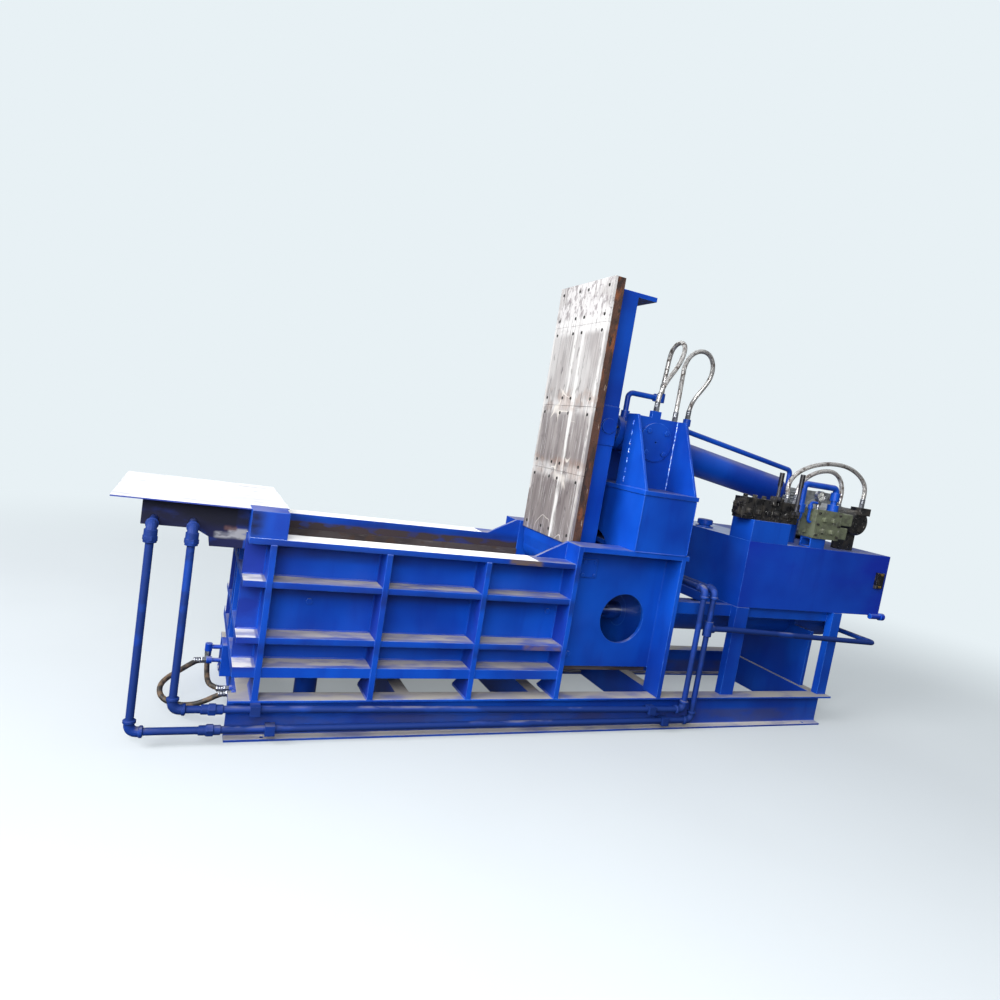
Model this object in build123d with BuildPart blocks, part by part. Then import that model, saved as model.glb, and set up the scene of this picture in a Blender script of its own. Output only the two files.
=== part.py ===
from build123d import *
import math
import os

# Hydraulic scrap baler with a pressing lid, all sizes in millimetres.
# X runs along the machine, from the lock end to the tank end.
# Y runs across it, with the near side at negative Y, and Z is up from the floor.
# The origin is on the floor, midway between the four anchor holes.

# Base frame
half_width = 500
base_start = -1920
base_end = 1886
beam_height = 200
beam_width = 100
beam_flange = 11
beam_web = 7
beam_root = 12
flange_overrun = 60
anchor_x = 1750
anchor_inset = 22
anchor_radius = 9
cross_starts = (-1880, -1105, -330, 515, 1838)
cross_width = 75
cross_flange = 11.5
cross_web = 8.5

# Chamber walls, floor and liners
wall_inner = 342
wall_plate = 20
wall_end = -191
rim_top = 965
rim_plate = 28
rim_width = 150
rim_start = -1915
rise_start = -407
rise_top_run = 23
ledge_depth = 132
ledge_tops = (768, 502, 360)
ledge_plates = (30, 30, 50)
rib_starts = (-1820, -1276, -748, -219)
rib_plate = 28
rib_foot_reach = 84
rib_foot_rise = 74
rib_foot_lap = 10
floor_top = 360
floor_plate = 50
end_wall_inner = -1722
end_wall_plate = 20
end_wall_top = 878
end_rib_y = 60
liner = 12
liner_top = 880

# Middle section with the lid hinge and the ram tunnel
tunnel_half = 334
tunnel_plate = 22
tunnel_bottom = 340
tunnel_top = 1040
tunnel_end = 483
tunnel_cap = 28
column_width = 28
hole_x = 238
hole_z = 635
hole_radius = 150
bulkhead_start = 440
bulkhead_plate = 40
deck_lip = 21

# Lid hinge
hinge_x = -55
hinge_z = 925
hinge_pin_radius = 40
hinge_fit = 0.05
hinge_seat_fit = 0.3
hinge_tube_radius = 98
hinge_tube_half = 322
hinge_tube_bore = 60
hinge_boss_length = 60
keeper_side = 105
keeper_plate = 12

# Lid, drawn open and upright
lid_half = 315
lid_face = -180
wear_plate = 16
lid_plate_thickness = 52
lid_bottom = 1040
lid_top = 2560
wear_seam_shares = (0.263, 0.521, 0.8355)
wear_gap = 2
arm_outer = 206
arm_web = 12
arm_flange = 70
arm_depth = 170
arm_heel = 40
arm_heel_reach = 60
arm_flange_start = 120
heel_plate = 20
heel_rise = 60
arm_bottom = 960
arm_top = 2530
doubler_plate = 10
doubler_reach = (-111, 114)
tie_shares = (0.234, 0.763)
tie_depth = 72
tie_plate = 20
catch_reach = 186
catch_plate = 26
catch_window_half = 130
catch_window_depth = 97
striker_plate = 20
striker_reach = (-80, 25)
lid_pin_x = 0
lid_pin_z = 1748
pin_keeper_radius = 45

# Tower and trunnion posts
tower_start = 140
tower_end = 505
tower_plate = 20
tower_top = 1395
tower_cap = 25
tower_cap_overhang = 8
arch_half_width = 190
arch_height = 87
post_inner = 186
post_plate = 30
post_end = 500
post_top = 1845
cheek_plate = 15
cheek_top = 290
trunnion_x = 340
trunnion_z = 1700
trunnion_radius = 45
trunnion_fit = 0.05
trunnion_end_gap = 2
cover_radius = 117
cover_plate = 14
cover_bolt_circle = 90
cover_centre_hole = 6
hose_block_x = (290, 354)
hose_block_height = 40

# Lid cylinder, drawn pulled in
lid_barrel_radius = 95
lid_barrel_bore = 80
lid_barrel_front = 150
lid_barrel_rear = 1230
lid_cap_length = 42
lid_cap_round = 38
lid_gland_radius = 108
lid_gland_length = 40
lid_collar_radius = 112
lid_collar_half = 60
lid_rod_radius = 42
lid_rod_fit = 0.3
lid_piston_length = 80
lid_piston_rest = 1190
lid_piston_fit = 0.1
eye_radius = 72
eye_thickness = 80
eye_pin_radius = 35
eye_pin_fit = 0.05
eye_pin_half = 132

front_port_x = 238
front_port_boss = 6
arch_z = 1985
arch_end_x = 482
arch_fitting = 50
feed_fitting = 45
feed_start = (717, 0, 1889)
feed_z = 1815
cap_elbow = 1360

# Main ram
ram_z = 595
ram_barrel_radius = 105
ram_barrel_bore = 85
ram_barrel_end = 2300
ram_flange_radius = 150
ram_flange_length = 30
ram_nose_radius = 100
ram_nose_fit = 0.3
ram_cap_length = 40
ram_rod_radius = 55
ram_rod_fit = 0.1
ram_piston_start = 2180
ram_piston_length = 60
ram_port_x = 2225
ram_port_radius = 30
ram_port_reach = 40
rear_plate_start = 1866
rear_plate_thickness = 28
rear_plate_half = 300
rear_plate_top_radius = 150
platen_front = -190
platen_rear = 95
platen_half = 322
platen_bottom = 362
platen_top = 793
platen_plate = 40

# Ejector in the chamber floor
ejector_x = -1490
ejector_length = 400
ejector_width = 500
ejector_plate_thickness = 29.7
ejector_pocket = 30
ejector_gap = 2
ejector_rod_radius = 30
ejector_rod_fit = 0.1
ejector_barrel_radius = 60
ejector_barrel_bore = 50
ejector_barrel_bottom = 20
ejector_cap = 20
ejector_flange_half = 90
ejector_flange_plate = 18
ejector_pipe_lap = 40
ejector_piston_length = 40
ejector_piston_lift = 5
ejector_port_heights = (224, 270)
ejector_pipe_y = 35
ejector_block_start = -1941
ejector_block_half = 60
ejector_block_bottom = 146
ejector_stub_end = -2010
ejector_stub_radius = 11
elbow_radius = 18
elbow_length = 26

# Lock at the chamber's outer end
lock_plate_y = 330
lock_plate = 20
lock_start = -2365
lock_end = -1752
lock_chin_z = 955
lock_chin_x = -2142
lock_step_x = -2077
lock_step_z = 920
lock_floor = 12
lock_floor_start = -2074
lock_floor_end = -1712
tray_plate = 6
tray_top = 1084
tray_start = -2487
tray_end = -1735
tray_far = 490
tray_near = 415
tray_notch_x = -1915
tray_notch_y = 300
guide_x = (-1915, -1752)
guide_far_y = 490
guide_near_top = 1088
wedge_half = 120
wedge_bottom = 890.3
wedge_top = 950
wedge_tip = -1715
wedge_tail = -1990
wedge_nose = 40
lock_axis_z = 1000
lock_barrel_radius = 45
lock_barrel_x = (-2345, -2135)
lock_ports_x = (-2313, -2152)
lock_rod_radius = 20
lock_rod_fit = 0.1
lock_piston_length = 25
lock_piston_gap = 2
lock_barrel_bore = 36

# Tank and its stand
tank_start = 1018
tank_end = 2305
tank_half = 445
tank_bottom = 772
tank_top = 1195
tank_plate = 6
drain_x = (2215, 2342)
drain_y = -452
drain_z = 765
drain_radius = 18
drain_ring = 25
drain_ring_length = 32
rail_start = 511
rail_end = 1960
rail_outer = 405
channel_depth = 50
channel_wall = 8
rail_height = 72
post_starts = (1010, 1860)
stand_post_length = (102, 80)
bearer_starts = (1010, 1760)
bearer_length = 60
bearer_height = 60
breather_place = (1090, 80)
breather_levels = (8, 22, 56)
breather_radii = (60, 40, 52)
breather_round = 10
level_x = (2195, 2264)
level_z = (966, 1077)
level_plate = 22
level_round = 6

# Valves, pump and gauge on the tank
valve_box_end = 1330
valve_box_y = (-445, -255)
valve_box_top = 1330
valve_box_plate = 5
valve_start = 940
valve_end = 1400
valve_y = (-420, -322)
valve_nose_x = 918
valve_nose_y = (-402, -343)
valve_nose_z = (1352, 1428)
valve_top = 1462
valve_sections = 6
valve_section_gap = 8
valve_neck = 12
lever_places = (1170, 1345)
lever_pivots = (1478, 1400)
lever_tops = (1645, 1655)
lever_y = -444
lever_radius = 11
lever_grip_radius = 15
lever_grip_length = 85
lever_hub_radius = 15
lever_hub_half = 14
lever_pin_radius = 7
lever_pin_fit = 0.3
lever_ear = 9
lever_ear_gap = 0.3
lever_ear_drop = 28
lever_hole_lap = 1
block_x = (1520, 1752)
block_y = (-455, -330)
block_z = (1262, 1450)
solenoid_y = (-440, -344)
solenoid_rows = ((1270, 1352), (1364, 1446))
solenoid_ends = (1838, 1866)
solenoid_round = 9
solenoid_nut = 26
solenoid_nut_length = 14
bracket_x = (1530, 1658)
bracket_y = (-440, -350)
bracket_plate = 10
pump_x = 1990
pump_z = 1395
pump_radius = 88
pump_y = (-400, -215)
pump_round = 24
pump_port_half = (48, 42)
pump_port_plate = 50
pump_foot_half = 66
pump_foot_y = (-330, -262)
bell_radius = 92
bell_rim = 112
bell_rim_plate = 22
motor_flange_y = (0, 40)
motor_radius = 150
motor_end = 410
motor_flange_half = 165
motor_flange_corner = 38
motor_foot_y = (70, 340)
motor_foot_x = (70, 140)
motor_foot_pad_x = (60, 175)
motor_foot_pad = 22
motor_foot_drop = 90
fan_cover = 14
fan_cover_length = 70
filter_place = (1545, -215)
filter_radius = 58
filter_height = 165
filter_head_radius = 70
filter_head = 34
gauge_x = 1560
gauge_y = -398
gauge_z = 1535
gauge_radius = 34
gauge_depth = 28
gauge_rim = 5
gauge_dial_depth = 7
gauge_stem = 9
gauge_stem_lap = 4
gauge_tee_half = 12
gauge_line_x = 1496
gauge_line_z = (1362, 1490)
gauge_line_radius = 9
gauge_line_bend = 18
gauge_line_nut = 15
gauge_line_nut_length = 26
needle_angle = 225
needle_length = 24
needle_width = 4
needle_thickness = 2
needle_gap = 0.6
needle_hub = 3
needle_hub_reach = (5, 0.3)

# Hard pipes
pipe_radius = 17
pipe_bend = 34
small_pipe_radius = 13
union_radius = 27
union_length = 55
fitting_radius = 25
lock_pipe_y = -520
upper_start = -2152
upper_z = (172, 135)
upper_end = 677
lower_start = -2313
lower_z = (72, 68)
lower_end = 750
lock_pipe_top = 985
lock_union_drop = (70, 15)
riser_top = 885
riser_end_y = -150
tee_z = 645
tee_half = 45
tee_branch_end = 790
ram_pipe_level_end = 900
clamp_upper = (-1800, 436)
clamp_lower = (-1724, 545)
clamp_width = 45
clamp_plate = 14
clamp_half = 24
clamp_stud = 20
clamp_fit = 0.6
crossover_y = -393
crossover_x = (1430, 1718)
crossover_z = (1372, 1602)
crossover_radius = 20
crossover_bend = 27
crossover_union = 29
crossover_foot = 36
crossover_foot_height = 42
union_above = 30
union_below = 44

# Loose hoses, with their routes from end to end
braided_radius = 14
rubber_radius = 13
hose_a = (
    (469, -201, 1845), (469, -201, 1905), (480, -187, 1970), (490, -173, 2043),
    (500, -159, 2121), (512, -143, 2205), (560, -127, 2276), (642, -111, 2318),
    (731, -94, 2308), (787, -77, 2242), (790, -61, 2162), (757, -43, 2090),
    (727, -20, 2026), (717, 0, 1958), (717, 0, 1889),
)
hose_b = (
    (482, 0, 2017), (482, 0, 2078), (488, -2, 2155), (490, -4, 2238),
    (488, -22, 2298), (486, -71, 2333), (480, -131, 2333), (466, -180, 2298),
    (448, -199, 2240), (420, -203, 2172), (378, -204, 2106), (341, -203, 2036),
    (322, -201, 1960), (322, -201, 1885),
)
hose_c = (
    (1351, -350, 1462), (1351, -350, 1502), (1335, -349, 1550), (1342, -349, 1604),
    (1386, -349, 1658), (1466, -350, 1706), (1574, -352, 1743), (1697, -356, 1761),
    (1819, -360, 1756), (1920, -364, 1723), (1990, -368, 1671), (2014, -370, 1614),
    (2010, -370, 1554), (2010, -370, 1500),
)
hose_d = (
    (1380, -390, 1462), (1380, -390, 1506), (1388, -384, 1562), (1420, -378, 1614),
    (1486, -374, 1664), (1578, -372, 1700), (1676, -372, 1710), (1748, -374, 1676),
    (1784, -377, 1614), (1787, -380, 1552), (1778, -382, 1498), (1778, -382, 1446),
)
hose_e = (
    (-2010, -35, 224), (-2046, -35, 224), (-2086, -52, 205), (-2130, -78, 183),
    (-2176, -108, 163), (-2206, -142, 143), (-2212, -186, 120), (-2193, -228, 100),
    (-2154, -257, 90), (-2105, -277, 86), (-2052, -291, 96), (-2003, -300, 118),
    (-1962, -303, 143), (-1925, -303, 156), (-1894, -303, 156),
)
hose_f = (
    (-2002, 35, 250), (-2002, 35, 214), (-2001, 24, 178), (-1999, -4, 148),
    (-1996, -44, 130), (-1990, -88, 124), (-1976, -119, 121), (-1952, -143, 119),
    (-1922, -152, 118), (-1894, -152, 118),
)

# Fasteners
wall_plugs = ((-1596, 651), (-279, 662))
tunnel_plug = (-96, 417)
plug_radius = 16
plug_height = 13
cover_bolt_radius = 15
cover_bolt_height = 12
keeper_bolt_radius = 10
keeper_bolt_height = 8
keeper_bolt_place = 38

# Values that follow from the ones above
wall_outer = wall_inner + wall_plate
ledge_outer = wall_outer + ledge_depth
floor_bottom = floor_top - floor_plate
chamber_half = wall_inner - liner
end_liner_inner = end_wall_inner + liner
end_wall_outer = end_wall_inner - end_wall_plate
tunnel_outer = tunnel_half + tunnel_plate
deck_top = tunnel_top + tunnel_cap
column_end = tunnel_end + column_width
lid_back = lid_face + wear_plate + lid_plate_thickness
arm_inner = arm_outer - arm_web
arm_edge = lid_back + arm_depth
doubler_outer = arm_outer + doubler_plate
post_outer = post_inner + post_plate
cap_top = tower_top + tower_cap
lid_axis_x = trunnion_x - lid_pin_x
lid_axis_z = lid_pin_z - trunnion_z
lid_pin_distance = math.hypot(lid_axis_x, lid_axis_z)
beam_inner = half_width - beam_width
beam_web_inner = half_width - beam_width / 2 - beam_web / 2
beam_web_outer = beam_web_inner + beam_web
bulkhead_end = bulkhead_start + bulkhead_plate
anchor_y = half_width - anchor_inset
lid_height = lid_top - lid_bottom
wear_seams = tuple(lid_bottom + share * lid_height for share in wear_seam_shares)
arm_length = arm_top - hinge_z
tie_heights = tuple(hinge_z + share * arm_length for share in tie_shares)
striker_z = tuple(arm_top + reach for reach in striker_reach)
doubler_z = tuple(lid_pin_z + reach for reach in doubler_reach)

front_port_axis_z = trunnion_z + (trunnion_x - front_port_x) * lid_axis_z / lid_axis_x
front_port_top = front_port_axis_z + lid_barrel_radius + front_port_boss

lid_axis = Plane(
    origin=(trunnion_x, 0, trunnion_z),
    x_dir=(0, 1, 0),
    z_dir=(-lid_axis_x, 0, lid_axis_z),
)


def across(side, first, second):
    """The two Y values of one side, the lower one first."""
    return tuple(sorted((side * first, side * second)))


def block(x, y, z, mode=Mode.ADD):
    """A square-edged block between two values on each axis."""
    with BuildSketch(Plane.XY.offset(z[0])) as section:
        with Locations(((x[0] + x[1]) / 2, (y[0] + y[1]) / 2)):
            Rectangle(x[1] - x[0], y[1] - y[0])
    extrude(section.sketch, amount=z[1] - z[0], mode=mode)


def side_profile(points, y, mode=Mode.ADD):
    """A plate seen from the side, between two Y values."""
    with BuildSketch(Plane.XZ.offset(-y[1])) as section:
        with BuildLine():
            Polyline(*points, close=True)
        make_face()
    extrude(section.sketch, amount=y[1] - y[0], mode=mode)


def end_profile(points, x, mode=Mode.ADD):
    """A plate seen from the end, between two X values."""
    with BuildSketch(Plane.YZ.offset(x[0])) as section:
        with BuildLine():
            Polyline(*points, close=True)
        make_face()
    extrude(section.sketch, amount=x[1] - x[0], mode=mode)


def disc_x(x, centre, radius, mode=Mode.ADD):
    """A round bar along X, at a centre in Y and Z."""
    with BuildSketch(Plane.YZ.offset(x[0])) as section:
        with Locations(centre):
            Circle(radius)
    extrude(section.sketch, amount=x[1] - x[0], mode=mode)


def disc_y(y, centre, radius, mode=Mode.ADD):
    """A round bar along Y, at a centre in X and Z."""
    with BuildSketch(Plane.XZ.offset(-y[1])) as section:
        with Locations(centre):
            Circle(radius)
    extrude(section.sketch, amount=y[1] - y[0], mode=mode)


def disc_z(z, centre, radius, mode=Mode.ADD):
    """A round bar along Z, at a centre in X and Y."""
    with BuildSketch(Plane.XY.offset(z[0])) as section:
        with Locations(centre):
            Circle(radius)
    extrude(section.sketch, amount=z[1] - z[0], mode=mode)


def disc_lid(along, radius, mode=Mode.ADD):
    """A round bar on the lid cylinder's axis, measured forward from the trunnion."""
    with BuildSketch(lid_axis.offset(along[0])) as section:
        Circle(radius)
    extrude(section.sketch, amount=along[1] - along[0], mode=mode)


def on_lid_axis(along):
    """A point on the lid cylinder's axis, measured forward from the trunnion."""
    share = along / lid_pin_distance
    return (trunnion_x - lid_axis_x * share, 0, trunnion_z + lid_axis_z * share)


def pipe(points, radius, bend):
    """A hard pipe along straight runs with rounded corners."""
    with BuildLine() as route:
        if len(points) == 2:
            Line(*points)
        else:
            FilletPolyline(*points, radius=bend)
    with BuildSketch(Plane(origin=route.line @ 0, z_dir=route.line % 0)) as section:
        Circle(radius)
    sweep(section.sketch, path=route.line)


def bolt_y(y, centre, radius, height, side):
    """A hexagon head that stands on a face of one side."""
    span = across(side, y, y + height)
    with BuildSketch(Plane.XZ.offset(-span[1])) as section:
        with Locations(centre):
            RegularPolygon(radius, 6)
    extrude(section.sketch, amount=height)


def cord_bends(points):
    """The bend at each corner, as large as its two runs allow."""
    bends = []
    for before, corner, after in zip(points, points[1:], points[2:]):
        run_in = Vector(*corner) - Vector(*before)
        run_out = Vector(*after) - Vector(*corner)
        half_turn = math.radians(run_in.get_angle(run_out)) / 2
        shorter = min(run_in.length, run_out.length)
        bends.append(0.45 * shorter / math.tan(half_turn))
    return bends


def write(piece, name):
    """Label a finished piece and write its STEP file."""
    piece.part.label = name
    export_step(piece.part, f"parts/{name}.step")


os.makedirs("parts", exist_ok=True)
sides = ((-1, "near"), (1, "far"))


# Base beams: rolled sections whose top flange runs on at the tank end
for side, name in sides:
    with BuildPart() as beam:
        middle_y = side * (half_width - beam_width / 2)
        with BuildSketch(Plane.YZ.offset(base_start)):
            with Locations((middle_y, beam_flange / 2), (middle_y, beam_height - beam_flange / 2)):
                Rectangle(beam_width, beam_flange)
            with Locations((middle_y, beam_height / 2)):
                Rectangle(beam_web, beam_height)
        extrude(amount=base_end - base_start)
        roots = beam.edges().filter_by(Axis.X).filter_by_position(
            Axis.Y, middle_y - beam_web, middle_y + beam_web
        )
        fillet(roots, beam_root)
        block(
            (base_end, base_end + flange_overrun),
            across(side, beam_inner, half_width),
            (beam_height - beam_flange, beam_height),
        )
        with Locations(
            Location((-anchor_x, side * anchor_y, beam_flange)),
            Location((anchor_x, side * anchor_y, beam_flange)),
        ):
            Hole(anchor_radius, beam_flange)
    write(beam, f"base_beam_{name}")

# Cross beams: channels between the two beams, let into their webs
with BuildPart() as cross_beams:
    for start in cross_starts:
        block((start, start + cross_width), (-beam_inner, beam_inner), (0, beam_height))
        block(
            (start + cross_web, start + cross_width),
            (-beam_inner, beam_inner),
            (cross_flange, beam_height - cross_flange),
            Mode.SUBTRACT,
        )
        for side in (-1, 1):
            block(
                (start, start + cross_web),
                across(side, beam_inner, beam_web_inner),
                (beam_flange + beam_root, beam_height - beam_flange - beam_root),
            )
write(cross_beams, "cross_beams")

# Long chamber walls: plate, three ledges, four ribs and the worn rim
rise_end = wall_end - rise_top_run
for side, name in sides:
    with BuildPart() as wall:
        side_profile(
            (
                (base_start, floor_bottom),
                (wall_end, floor_bottom),
                (wall_end, deck_top),
                (rise_end, deck_top),
                (rise_start, rim_top),
                (base_start, rim_top),
            ),
            across(side, wall_inner, wall_outer),
        )
        for top, plate in zip(ledge_tops, ledge_plates):
            block((base_start, wall_end), across(side, wall_outer, ledge_outer), (top - plate, top))
        block(
            (rim_start, rib_starts[-1]),
            across(side, wall_inner, wall_inner + rim_width),
            (rim_top - rim_plate, rim_top),
        )
        for start in rib_starts:
            rib_top = deck_top if start == rib_starts[-1] else rim_top - rim_plate
            outline = (
                (half_width, beam_height),
                (half_width, rib_top),
                (wall_outer - rib_foot_lap, rib_top),
                (wall_outer - rib_foot_lap, floor_bottom),
                (wall_outer, floor_bottom),
                (wall_outer, beam_height + rib_foot_rise),
                (wall_outer - rib_foot_reach, beam_height),
            )
            end_profile([(side * y, z) for y, z in outline], (start, start + rib_plate))
    write(wall, f"{name}_wall")

# End wall with ledges that carry the side ledges round the corner
with BuildPart() as end_wall:
    block(
        (end_wall_outer, end_wall_inner),
        (-wall_inner, wall_inner),
        (floor_bottom, end_wall_top),
    )
    for top, plate in zip(ledge_tops, ledge_plates):
        block((base_start, end_wall_outer), (-wall_inner, wall_inner), (top - plate, top))
    for side in (-1, 1):
        block(
            (base_start, end_wall_outer),
            (side * end_rib_y - rib_plate / 2, side * end_rib_y + rib_plate / 2),
            (floor_bottom, end_wall_top),
        )
write(end_wall, "end_wall")

# Chamber floor with the ejector's pocket and the hole for its rod
pocket_x = (ejector_x - ejector_length / 2, ejector_x + ejector_length / 2)
pocket_y = (-ejector_width / 2, ejector_width / 2)
with BuildPart() as chamber_floor:
    block((end_wall_inner, wall_end), (-wall_inner, wall_inner), (floor_bottom, floor_top))
    block((wall_end, bulkhead_end), (-tunnel_half, tunnel_half), (floor_bottom, floor_top))
    block(pocket_x, pocket_y, (floor_top - ejector_pocket, floor_top), Mode.SUBTRACT)
    disc_z(
        (floor_bottom, floor_top),
        (ejector_x, 0),
        ejector_rod_radius + ejector_rod_fit,
        Mode.SUBTRACT,
    )
write(chamber_floor, "chamber_floor")

# Wear liners inside the chamber, down both sides and across the end
with BuildPart() as chamber_liners:
    for side in (-1, 1):
        block(
            (end_liner_inner, wall_end),
            across(side, chamber_half, wall_inner),
            (floor_top, liner_top),
        )
    block(
        (end_wall_inner, end_liner_inner),
        (-wall_inner, wall_inner),
        (floor_top, end_wall_top),
    )
write(chamber_liners, "chamber_liners")

# Side plates of the middle section, with the round inspection hole
for side, name in sides:
    with BuildPart() as side_plate:
        plate_y = across(side, tunnel_half, tunnel_outer)
        block((wall_end, tunnel_end), plate_y, (tunnel_bottom, tunnel_top))
        block(
            (tunnel_end, column_end),
            across(side, tunnel_half, half_width),
            (tunnel_bottom, tunnel_top),
        )
        block(
            (tunnel_end, column_end),
            across(side, tunnel_outer, half_width),
            (beam_height, tunnel_bottom),
        )
        block(
            (wall_end, column_end + deck_lip),
            across(side, tunnel_half, half_width),
            (tunnel_top, deck_top),
        )
        disc_y(plate_y, (hole_x, hole_z), hole_radius, Mode.SUBTRACT)
        disc_y(plate_y, (hinge_x, hinge_z), hinge_pin_radius + hinge_seat_fit, Mode.SUBTRACT)
    write(side_plate, f"side_plate_{name}")

# Hinge pin across the machine and the square keepers that hold it
with BuildPart() as hinge_pin:
    disc_y((-tunnel_outer, tunnel_outer), (hinge_x, hinge_z), hinge_pin_radius)
write(hinge_pin, "hinge_pin")

with BuildPart() as hinge_keepers:
    for side in (-1, 1):
        block(
            (hinge_x - keeper_side / 2, hinge_x + keeper_side / 2),
            across(side, tunnel_outer, tunnel_outer + keeper_plate),
            (hinge_z - keeper_side / 2, hinge_z + keeper_side / 2),
        )
write(hinge_keepers, "hinge_keepers")

# Tower: a plated box across the whole machine, on a deck over the tunnel
with BuildPart() as tower_box:
    front = (tower_start, tower_start + tower_plate)
    back = (tower_end - tower_plate, tower_end)
    for span in (front, back):
        block(span, (-half_width, half_width), (deck_top, tower_top))
        block(span, (-tunnel_half, tunnel_half), (tunnel_top, deck_top))
    for side in (-1, 1):
        block(
            (tower_start, tower_end),
            across(side, half_width - tower_plate, half_width),
            (deck_top, tower_top),
        )
    with BuildSketch(Plane.YZ.offset(tower_start)) as arch:
        with Locations((0, tunnel_top)):
            Ellipse(arch_half_width, arch_height)
    extrude(arch.sketch, amount=tower_plate, mode=Mode.SUBTRACT)
    block(
        (tower_start + tower_plate, tower_end - tower_plate),
        (-tunnel_half, tunnel_half),
        (tunnel_top, deck_top),
    )
    block(
        (tower_start - tower_cap_overhang, tower_end + tower_cap_overhang),
        (-half_width - tower_cap_overhang, half_width + tower_cap_overhang),
        (tower_top, cap_top),
    )
write(tower_box, "tower_box")

# Trunnion posts with cheeks that flare out to the corners of the tower
for side, name in sides:
    with BuildPart() as post:
        post_y = across(side, post_inner, post_outer)
        block((tower_start, post_end), post_y, (cap_top, post_top))
        cheek = (
            (post_outer, cap_top),
            (half_width, cap_top),
            (cheek_top, post_top),
            (post_outer, post_top),
        )
        for start in (tower_start, post_end - cheek_plate):
            end_profile([(side * y, z) for y, z in cheek], (start, start + cheek_plate))
        if side < 0:
            block(hose_block_x, post_y, (post_top, post_top + hose_block_height))
        disc_y(
            post_y,
            (trunnion_x, trunnion_z),
            trunnion_radius + trunnion_fit,
            Mode.SUBTRACT,
        )
    write(post, f"trunnion_post_{name}")

# Round covers over the trunnions, with a small centre hole
with BuildPart() as trunnion_covers:
    for side in (-1, 1):
        cover_y = across(side, post_outer, post_outer + cover_plate)
        disc_y(cover_y, (trunnion_x, trunnion_z), cover_radius)
        disc_y(cover_y, (trunnion_x, trunnion_z), cover_centre_hole, Mode.SUBTRACT)
write(trunnion_covers, "trunnion_covers")

# Hexagon heads: wall plugs, cover bolts and keeper bolts
with BuildPart() as hex_bolts:
    corner = cover_bolt_circle * math.sqrt(0.5)
    for side in (-1, 1):
        for place in wall_plugs:
            bolt_y(wall_outer, place, plug_radius, plug_height, side)
        bolt_y(tunnel_outer, tunnel_plug, plug_radius, plug_height, side)
        for dx in (-1, 1):
            for dz in (-1, 1):
                bolt_y(
                    post_outer + cover_plate,
                    (trunnion_x + dx * corner, trunnion_z + dz * corner),
                    cover_bolt_radius,
                    cover_bolt_height,
                    side,
                )
                bolt_y(
                    tunnel_outer + keeper_plate,
                    (hinge_x + dx * keeper_bolt_place, hinge_z + dz * keeper_bolt_place),
                    keeper_bolt_radius,
                    keeper_bolt_height,
                    side,
                )
write(hex_bolts, "hex_bolts")

# Lid plate, upright
with BuildPart() as lid_plate:
    block((lid_face + wear_plate, lid_back), (-lid_half, lid_half), (lid_bottom, lid_top))
write(lid_plate, "lid_plate")

# Wear plates on the lid: two columns and four rows with narrow seams
with BuildPart() as lid_wear_plates:
    row_edges = (lid_bottom, *wear_seams, lid_top)
    for side in (-1, 1):
        for low, high in zip(row_edges, row_edges[1:]):
            low_gap = 0 if low == lid_bottom else wear_gap / 2
            high_gap = 0 if high == lid_top else wear_gap / 2
            block(
                (lid_face, lid_face + wear_plate),
                across(side, wear_gap / 2, lid_half),
                (low + low_gap, high - high_gap),
            )
write(lid_wear_plates, "lid_wear_plates")

# Lid frame: two channel arms on the hinge tube, ties, catch plate and striker
heel_x = lid_face + wear_plate
heel_z = hinge_z + heel_rise
with BuildPart() as lid_frame:
    side_profile(
        (
            (heel_x, lid_bottom),
            (heel_x, heel_z),
            (hinge_x - hinge_tube_radius, hinge_z),
            (hinge_x - hinge_tube_radius + heel_plate, hinge_z),
            (heel_x + heel_plate, heel_z),
            (heel_x + heel_plate, lid_bottom),
        ),
        (-lid_half, lid_half),
    )
    for side in (-1, 1):
        side_profile(
            (
                (lid_back, arm_top),
                (arm_edge, arm_top),
                (arm_edge, arm_bottom + arm_heel),
                (hinge_x + arm_heel_reach, hinge_z),
                (lid_back, hinge_z),
            ),
            across(side, arm_inner, arm_outer),
        )
        for start in (lid_back, arm_edge - arm_web):
            block(
                (start, start + arm_web),
                across(side, arm_outer - arm_flange, arm_inner),
                (hinge_z + arm_flange_start, arm_top),
            )
        block((lid_back, arm_edge), across(side, arm_outer, doubler_outer), doubler_z)
        disc_y(
            across(side, doubler_outer, doubler_outer + arm_web),
            (lid_pin_x, lid_pin_z),
            pin_keeper_radius,
        )
    for height in tie_heights:
        block(
            (lid_back, lid_back + tie_depth),
            (-arm_inner, arm_inner),
            (height - tie_plate / 2, height + tie_plate / 2),
        )
    block((lid_back, catch_reach), (-arm_outer, arm_outer), (arm_top - catch_plate, arm_top))
    block(
        (lid_back, lid_back + catch_window_depth),
        (-catch_window_half, catch_window_half),
        (arm_top - catch_plate, arm_top),
        Mode.SUBTRACT,
    )
    block(
        (lid_back, lid_back + striker_plate),
        (-(arm_outer - arm_flange), arm_outer - arm_flange),
        striker_z,
    )
    disc_y((-hinge_tube_half, hinge_tube_half), (hinge_x, hinge_z), hinge_tube_radius)
    boss_inner = hinge_tube_half - hinge_boss_length
    disc_y((-boss_inner, boss_inner), (hinge_x, hinge_z), hinge_tube_bore, Mode.SUBTRACT)
    disc_y(
        (-hinge_tube_half, hinge_tube_half),
        (hinge_x, hinge_z),
        hinge_pin_radius + hinge_fit,
        Mode.SUBTRACT,
    )
write(lid_frame, "lid_frame")

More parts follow.
